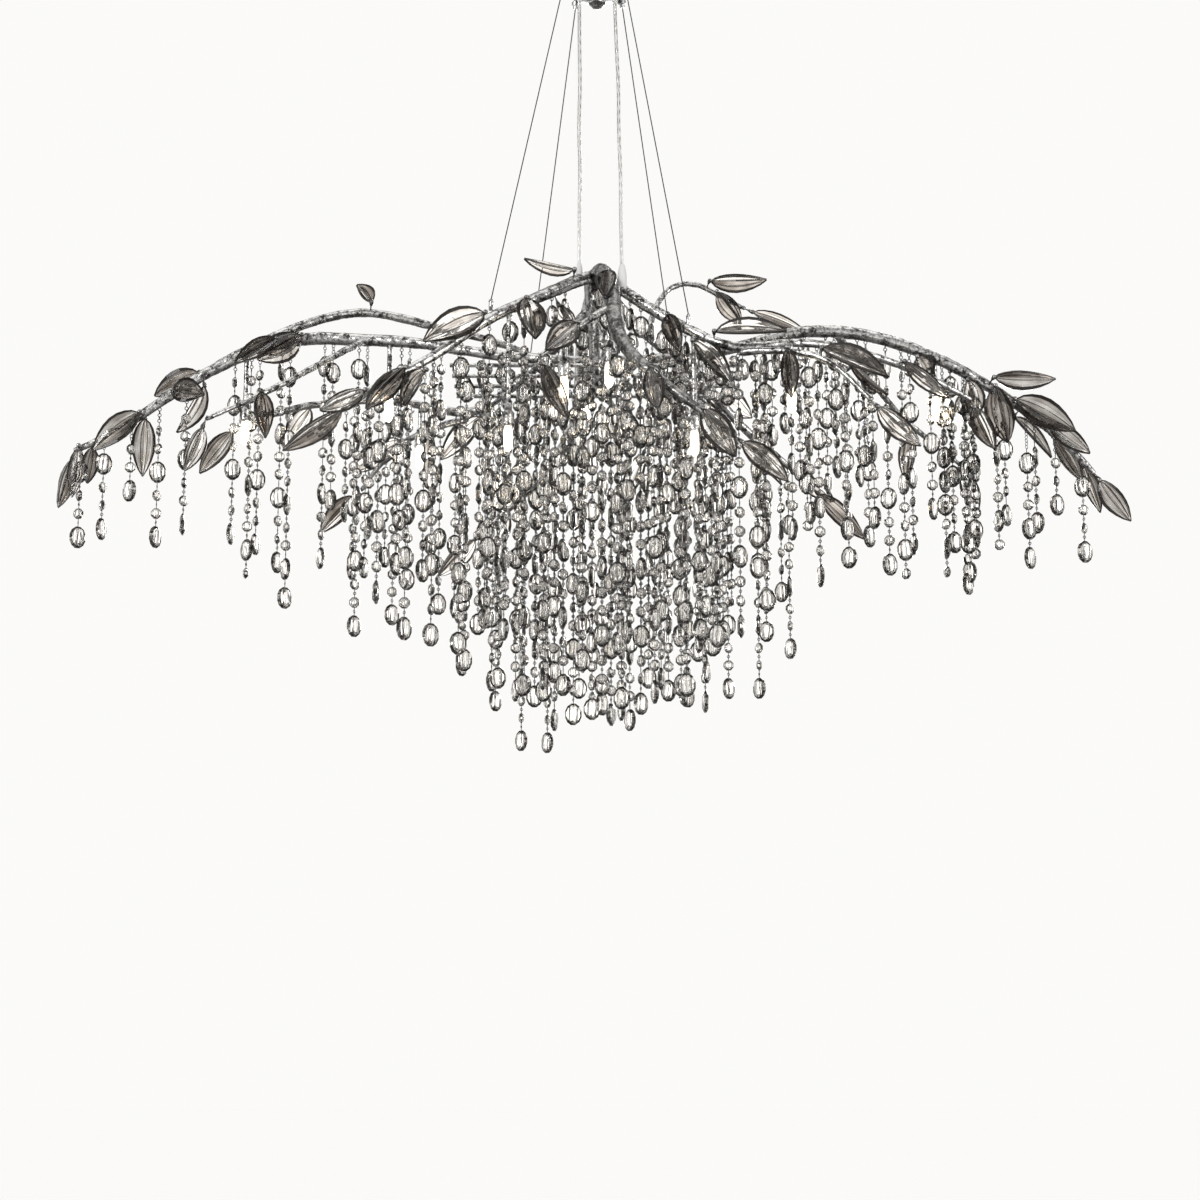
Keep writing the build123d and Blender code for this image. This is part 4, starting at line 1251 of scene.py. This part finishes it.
class CHANDELIER_OT_canopy(bpy.types.Operator):
    """Spin the canopy and its knob and turn the fittings of cables and cords"""

    bl_idname = "chandelier.canopy"
    bl_label = "Canopy"

    def execute(self, context):
        metal = silver_leaf(context.scene.chandelier_finishes)
        steel, grey = plain_finish("plated_steel"), plain_finish("moulded_grey_plastic")
        low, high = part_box("canopy_cover")
        steps = context.scene.chandelier_shapes.canopy_steps
        dome = turning("dome", dome_levels((high.x - low.x) / 2, high.z - low.z, steps), sides=64)
        piece = copies("canopy_dome", [(dome, Matrix.Identity(4))], metal)
        settle(piece, FRAME_BODY, "silver_leaf", "canopy_cover")
        low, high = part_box("canopy_finial")
        centre = (low + high) / 2
        foot, head = (Vector((centre.x, centre.y, z)) for z in (low.z, high.z))
        knob = turning("knob", KNOB_LEVELS, sides=40)
        piece = copies("finial_knob", [(knob, stand(foot, head, (high.x - low.x) / 2))], metal)
        settle(piece, FRAME_BODY, "silver_leaf", "canopy_finial")
        gripper = turning("gripper", GRIPPER_LEVELS, sides=24)
        placed = []
        for points in islands("cable_grippers"):
            centre = middle(points)
            start, end = min(cable_ends(), key=lambda pair: (pair[0] - centre).length)
            top = start + (start - end).normalized() * GRIPPER_LENGTH
            placed.append((gripper, stand(start, top, GRIPPER_RADIUS)))
        piece = copies("cable_grippers_turned", placed, steel)
        settle(piece, FRAME_BODY, "plain_steel", "cable_grippers")
        stop = turning("stop", STOP_LEVELS, sides=16)
        collar = turning("collar", COLLAR_LEVELS, sides=20)
        fill_solids("cable_stops", "cable_stops_turned", "silver_leaf", [stop], metal)
        fill_solids("cord_glands", "cord_glands_turned", "grey_plastic", [collar], grey)
        fill_solids("cord_bushings", "cord_bushings_turned", "grey_plastic", [collar], grey, hanging=True)
        paint("ceiling_bracket", steel)
        paint("canopy_stud", steel)
        paint("strand_rods", metal)
        return {"FINISHED"}


# ---- cables and cords -----------------------------------------------------------------------
# Where each cable starts under its gripper and ends in its stop, in metres.
CABLE_ENDS = {
    "suspension_cable_near_left": ((-0.04837, -0.03656, -0.02784), (-0.14595, -0.14187, -0.54356)),
    "suspension_cable_near_right": ((0.04100, -0.03657, -0.03262), (0.12596, -0.14580, -0.56691)),
    "suspension_cable_far_left": ((-0.03267, 0.03829, -0.03585), (-0.09997, 0.13038, -0.54655)),
    "suspension_cable_far_right": ((0.03787, 0.03811, -0.03337), (0.10996, 0.11969, -0.52279)),
}
# The route of each power cord from its bushing down to its gland, in metres.
CORD_ROUTES = {
    "power_cord_left": [
        (-0.0260, -0.0140, -0.0460),
        (-0.0260, -0.0180, -0.1120),
        (-0.0245, -0.0270, -0.1820),
        (-0.0265, -0.0360, -0.2520),
        (-0.0240, -0.0450, -0.3220),
        (-0.0255, -0.0520, -0.3920),
        (-0.0250, -0.0550, -0.4620),
    ],
    "power_cord_right": [
        (0.0260, -0.0140, -0.0460),
        (0.0280, -0.0220, -0.1180),
        (0.0315, -0.0350, -0.1900),
        (0.0310, -0.0500, -0.2620),
        (0.0340, -0.0640, -0.3340),
        (0.0335, -0.0770, -0.4060),
        (0.0350, -0.0920, -0.4800),
    ],
}
CABLE_DIAMETER = 1.6 * MM
CORD_DIAMETER = 5 * MM
# The two wires in a cord: how far on they go once round, how far off its middle, and their radius.
TWIST_PITCH = 30 * MM
TWIST_OFFSET = 1.0 * MM
TWIST_RADIUS = 0.85 * MM


def cable_ends():
    """The start and end of each cable."""
    return [(Vector(start), Vector(end)) for start, end in CABLE_ENDS.values()]


def route(name, points, radius, material):
    """A round cord along one smooth open spline."""
    curve = bpy.data.curves.new(name, "CURVE")
    curve.dimensions = "3D"
    spline = curve.splines.new("NURBS")
    spline.points.add(len(points) - 1)
    for point, place in zip(spline.points, points):
        point.co = (*place, 1.0)
    spline.order_u = 3
    spline.use_endpoint_u = True
    spline.resolution_u = 12
    curve.bevel_depth = radius
    curve.bevel_resolution = 4
    curve.use_fill_caps = True
    curve.materials.append(material)
    return linked(name, curve)


def line_of(piece):
    """The points of a curve's own smooth line."""
    bare = linked(piece.name + "_bare", piece.data.copy())
    bare.data.bevel_depth = 0
    bpy.context.view_layer.update()
    mesh = bpy.data.meshes.new_from_object(bare.evaluated_get(bpy.context.evaluated_depsgraph_get()))
    points = [corner.co.copy() for corner in mesh.vertices]
    bpy.data.objects.remove(bare)
    bpy.data.meshes.remove(mesh)
    return points


def twisted(name, line, phase, material):
    """One of two wires twisted round each other along a line."""
    points, travelled = [], 0.0
    for index, centre in enumerate(line):
        ahead = line[min(index + 1, len(line) - 1)] - line[max(index - 1, 0)]
        across, through, _ = facing(ahead)
        angle = phase + travelled / TWIST_PITCH * 2 * math.pi
        points.append(centre + (across * math.cos(angle) + through * math.sin(angle)) * TWIST_OFFSET)
        if index + 1 < len(line):
            travelled += (line[index + 1] - centre).length
    return route(name, points, TWIST_RADIUS, material)


class CHANDELIER_OT_cords(bpy.types.Operator):
    """Hang the steel cables and the clear power cords"""

    bl_idname = "chandelier.cords"
    bl_label = "Cables and cords"

    def execute(self, context):
        steel = cable_wire()
        for name, (start, end) in zip(CABLE_ENDS, cable_ends()):
            piece = route(name + "_line", [start, (start + end) / 2, end], CABLE_DIAMETER / 2, steel)
            settle(piece, FRAME_BODY, "cable_steel", name)
        sleeve, copper = plain_finish("clear_sleeve"), plain_finish("tinned_wire")
        for name, points in CORD_ROUTES.items():
            piece = route(name + "_sleeve", points, CORD_DIAMETER / 2, sleeve)
            settle(piece, FRAME_BODY, "clear_cord", name)
            line = line_of(piece)
            pair = [twisted(f"{name}_wire_{side}", line, side * math.pi, copper) for side in (0, 1)]
            for wire in pair:
                settle(wire, FRAME_BODY, "clear_cord")
        return {"FINISHED"}


# ---- stage ----------------------------------------------------------------------------------
CAMERA_PLACE = (0.00427, -3.308, -1.5595)
CAMERA_PITCH = math.radians(10.6)
CAMERA_LENS = 71.64
FLOOR_HEIGHT = -2.4
FLOOR_SIZE = 60
# The colour of the plain background.
PAPER = (1.0, 0.992, 0.975)
# How strong the floor is to the camera, how strong in crystal and metal near the middle, what it
# gains beyond that and between which distances, and how much of it is light rather than paint, to
# the camera and in crystal and metal.
FLOOR_SEEN = 1.1
FLOOR_NEAR = 0.6
FLOOR_BEYOND = 0.35
FLOOR_GROWS = (3.0, 4.6)
FLOOR_LIGHT_SEEN = 0.7
FLOOR_LIGHT_BENT = 0.95
# How strong the surroundings are to the camera and to matt surfaces.
WORLD_SEEN = 0.965
WORLD_MATT = 0.72
# In crystal and metal the horizon is pale with dark bands to the sides, and a soft box stands
# behind the object, full within the first turn to the side and gone from the second on, in radians.
HORIZON = 0.94
HORIZON_BANDS = 0.78
BAND_WAVES = 5.0
BAND_EDGE = (-0.9, -0.45)
SOFT_BOX = 2.2
SOFT_BOX_TURN = (0.07, 0.2)
# Above it stand bright strips between dark flags, up to a pale top.
STRIP_WAVES = 12.0
STRIP_EDGE = (0.5, 0.7)
STRIP = 1.1
FLAG = 0.04
TOP = 1.2
FLAGS_FROM = (0.3, 0.38)
TOP_FROM = (0.78, 0.84)
# The lights: their place, size and power, and if they are seen through glass. All look at one point.
LIGHTS = {
    "key_light": ((-2.2, -2.6, 0.6), 1.2, 55.0, True),
    "fill_light": ((2.6, -1.8, -0.4), 1.6, 30.0, True),
    "back_light": ((0.6, 2.8, 0.2), 1.4, 40.0, False),
}
LIT_POINT = Vector((0, 0, -0.7))


def rays(nodes):
    """Whether a ray comes from the camera, and whether it is mirrored or bent by a surface."""
    camera = nodes.add("LightPath", "Is Camera Ray")
    glossy = nodes.add("LightPath", "Is Glossy Ray")
    return camera, glossy.maths("MAXIMUM", nodes.add("LightPath", "Is Transmission Ray"))


def pale_floor():
    """A plain pale floor, white to the camera apart from the object's shadow."""
    nodes = new_finish("pale_floor")
    camera, sharp = rays(nodes)
    colours = nodes.blend(nodes.noise(3.0), (0.86, 0.86, 0.85), (0.9, 0.9, 0.89))
    plain = nodes.add("BsdfPrincipled", "BSDF", Base_Color=colours, Roughness=0.9)
    distance = nodes.add("VectorMath", "Value", {"operation": "LENGTH"}, Vector=nodes.place())
    beyond = distance.between(*FLOOR_GROWS)
    strength = camera * FLOOR_SEEN + sharp * (beyond * FLOOR_BEYOND + FLOOR_NEAR)
    glow = nodes.add("Emission", "Emission", Color=PAPER, Strength=strength)
    mix = nodes.add("MixShader", "Shader", Fac=camera * FLOOR_LIGHT_SEEN + sharp * FLOOR_LIGHT_BENT)
    for slot, shader in zip(mix.socket.node.inputs[1:], (plain, glow)):
        plug(nodes.tree, slot, shader)
    return nodes.finish("Material", mix)


def studio_world():
    """White to the camera, plain to matt surfaces, with soft boxes and dark flags for gloss and glass."""
    nodes = Nodes(bpy.data.worlds.new("studio"))
    camera, sharp = rays(nodes)
    way = nodes.add("TexCoord", "Generated")
    east, north, height = (nodes.add("SeparateXYZ", axis, Vector=way) for axis in "XYZ")
    turn = east.maths("ARCTAN2", north)
    aside = turn.maths("ABSOLUTE")
    bands = 1 - (aside * BAND_WAVES).maths("COSINE").between(*BAND_EDGE)
    behind = 1 - aside.between(*SOFT_BOX_TURN)
    horizon = HORIZON - bands * HORIZON_BANDS + behind * SOFT_BOX
    flags = (turn * STRIP_WAVES).maths("SINE").between(*STRIP_EDGE) * STRIP + FLAG
    level = height.between(*FLAGS_FROM)
    top = height.between(*TOP_FROM)
    pattern = horizon * (1 - level) + level * (flags * (1 - top) + top * TOP)
    seen = camera * WORLD_SEEN + (1 - camera) * (sharp * pattern + (1 - sharp) * WORLD_MATT)
    light = nodes.add("Background", "Background", Color=PAPER, Strength=seen)
    return nodes.finish("World", light)


class CHANDELIER_OT_stage(bpy.types.Operator):
    """Set the floor, the soft lights and the camera"""

    bl_idname = "chandelier.stage"
    bl_label = "Stage"

    def execute(self, context):
        deselect()
        bpy.ops.mesh.primitive_plane_add(size=FLOOR_SIZE, location=(0, 0, FLOOR_HEIGHT))
        floor = context.object
        floor.name = "floor"
        floor.data.materials.append(pale_floor())
        context.scene.world = studio_world()
        for name, (place, size, power, seen_through) in LIGHTS.items():
            lamp = bpy.data.lights.new(name, "AREA")
            lamp.size = size
            lamp.energy = power
            light = linked(name, lamp)
            light.location = place
            light.rotation_euler = (LIT_POINT - Vector(place)).to_track_quat("-Z", "Y").to_euler()
            light.visible_camera = False
            light.visible_transmission = seen_through
        lens = bpy.data.cameras.new("camera")
        lens.lens = CAMERA_LENS
        lens.sensor_width = 36.0
        lens.clip_end = 200.0
        camera = linked("camera", lens)
        camera.location = CAMERA_PLACE
        camera.rotation_euler = (math.pi / 2 + CAMERA_PITCH, 0, 0)
        context.scene.camera = camera
        context.scene.view_settings.view_transform = "Standard"
        return {"FINISHED"}


# ---- add-on ---------------------------------------------------------------------------------
class CHANDELIER_PT_panel(bpy.types.Panel):
    """The chandelier's sizes, colours and pieces"""

    bl_idname = "CHANDELIER_PT_panel"
    bl_label = "Crystal Chandelier"
    bl_space_type = "VIEW_3D"
    bl_region_type = "UI"
    bl_category = "Chandelier"

    def draw(self, context):
        for group in (context.scene.chandelier_finishes, context.scene.chandelier_shapes):
            for name in group.__annotations__:
                self.layout.prop(group, name)
        for step in STEPS:
            self.layout.operator(step.bl_idname)


STEPS = (
    CHANDELIER_OT_stage,
    CHANDELIER_OT_cords,
    CHANDELIER_OT_branches,
    CHANDELIER_OT_leaves,
    CHANDELIER_OT_strands,
    CHANDELIER_OT_lamps,
    CHANDELIER_OT_canopy,
)
CLASSES = (ChandelierFinishes, ChandelierShapes, *STEPS, CHANDELIER_PT_panel)


def register():
    for cls in CLASSES:
        bpy.utils.register_class(cls)
    bpy.types.Scene.chandelier_finishes = PointerProperty(type=ChandelierFinishes)
    bpy.types.Scene.chandelier_shapes = PointerProperty(type=ChandelierShapes)


def unregister():
    del bpy.types.Scene.chandelier_shapes
    del bpy.types.Scene.chandelier_finishes
    for cls in reversed(CLASSES):
        bpy.utils.unregister_class(cls)


def main():
    """Build every piece."""
    register()
    bpy.ops.chandelier.stage()
    bpy.ops.chandelier.cords()
    bpy.ops.chandelier.branches()
    bpy.ops.chandelier.leaves()
    bpy.ops.chandelier.strands()
    bpy.ops.chandelier.lamps()
    bpy.ops.chandelier.canopy()
    bpy.context.view_layer.update()


if __name__ == "__main__":
    main()
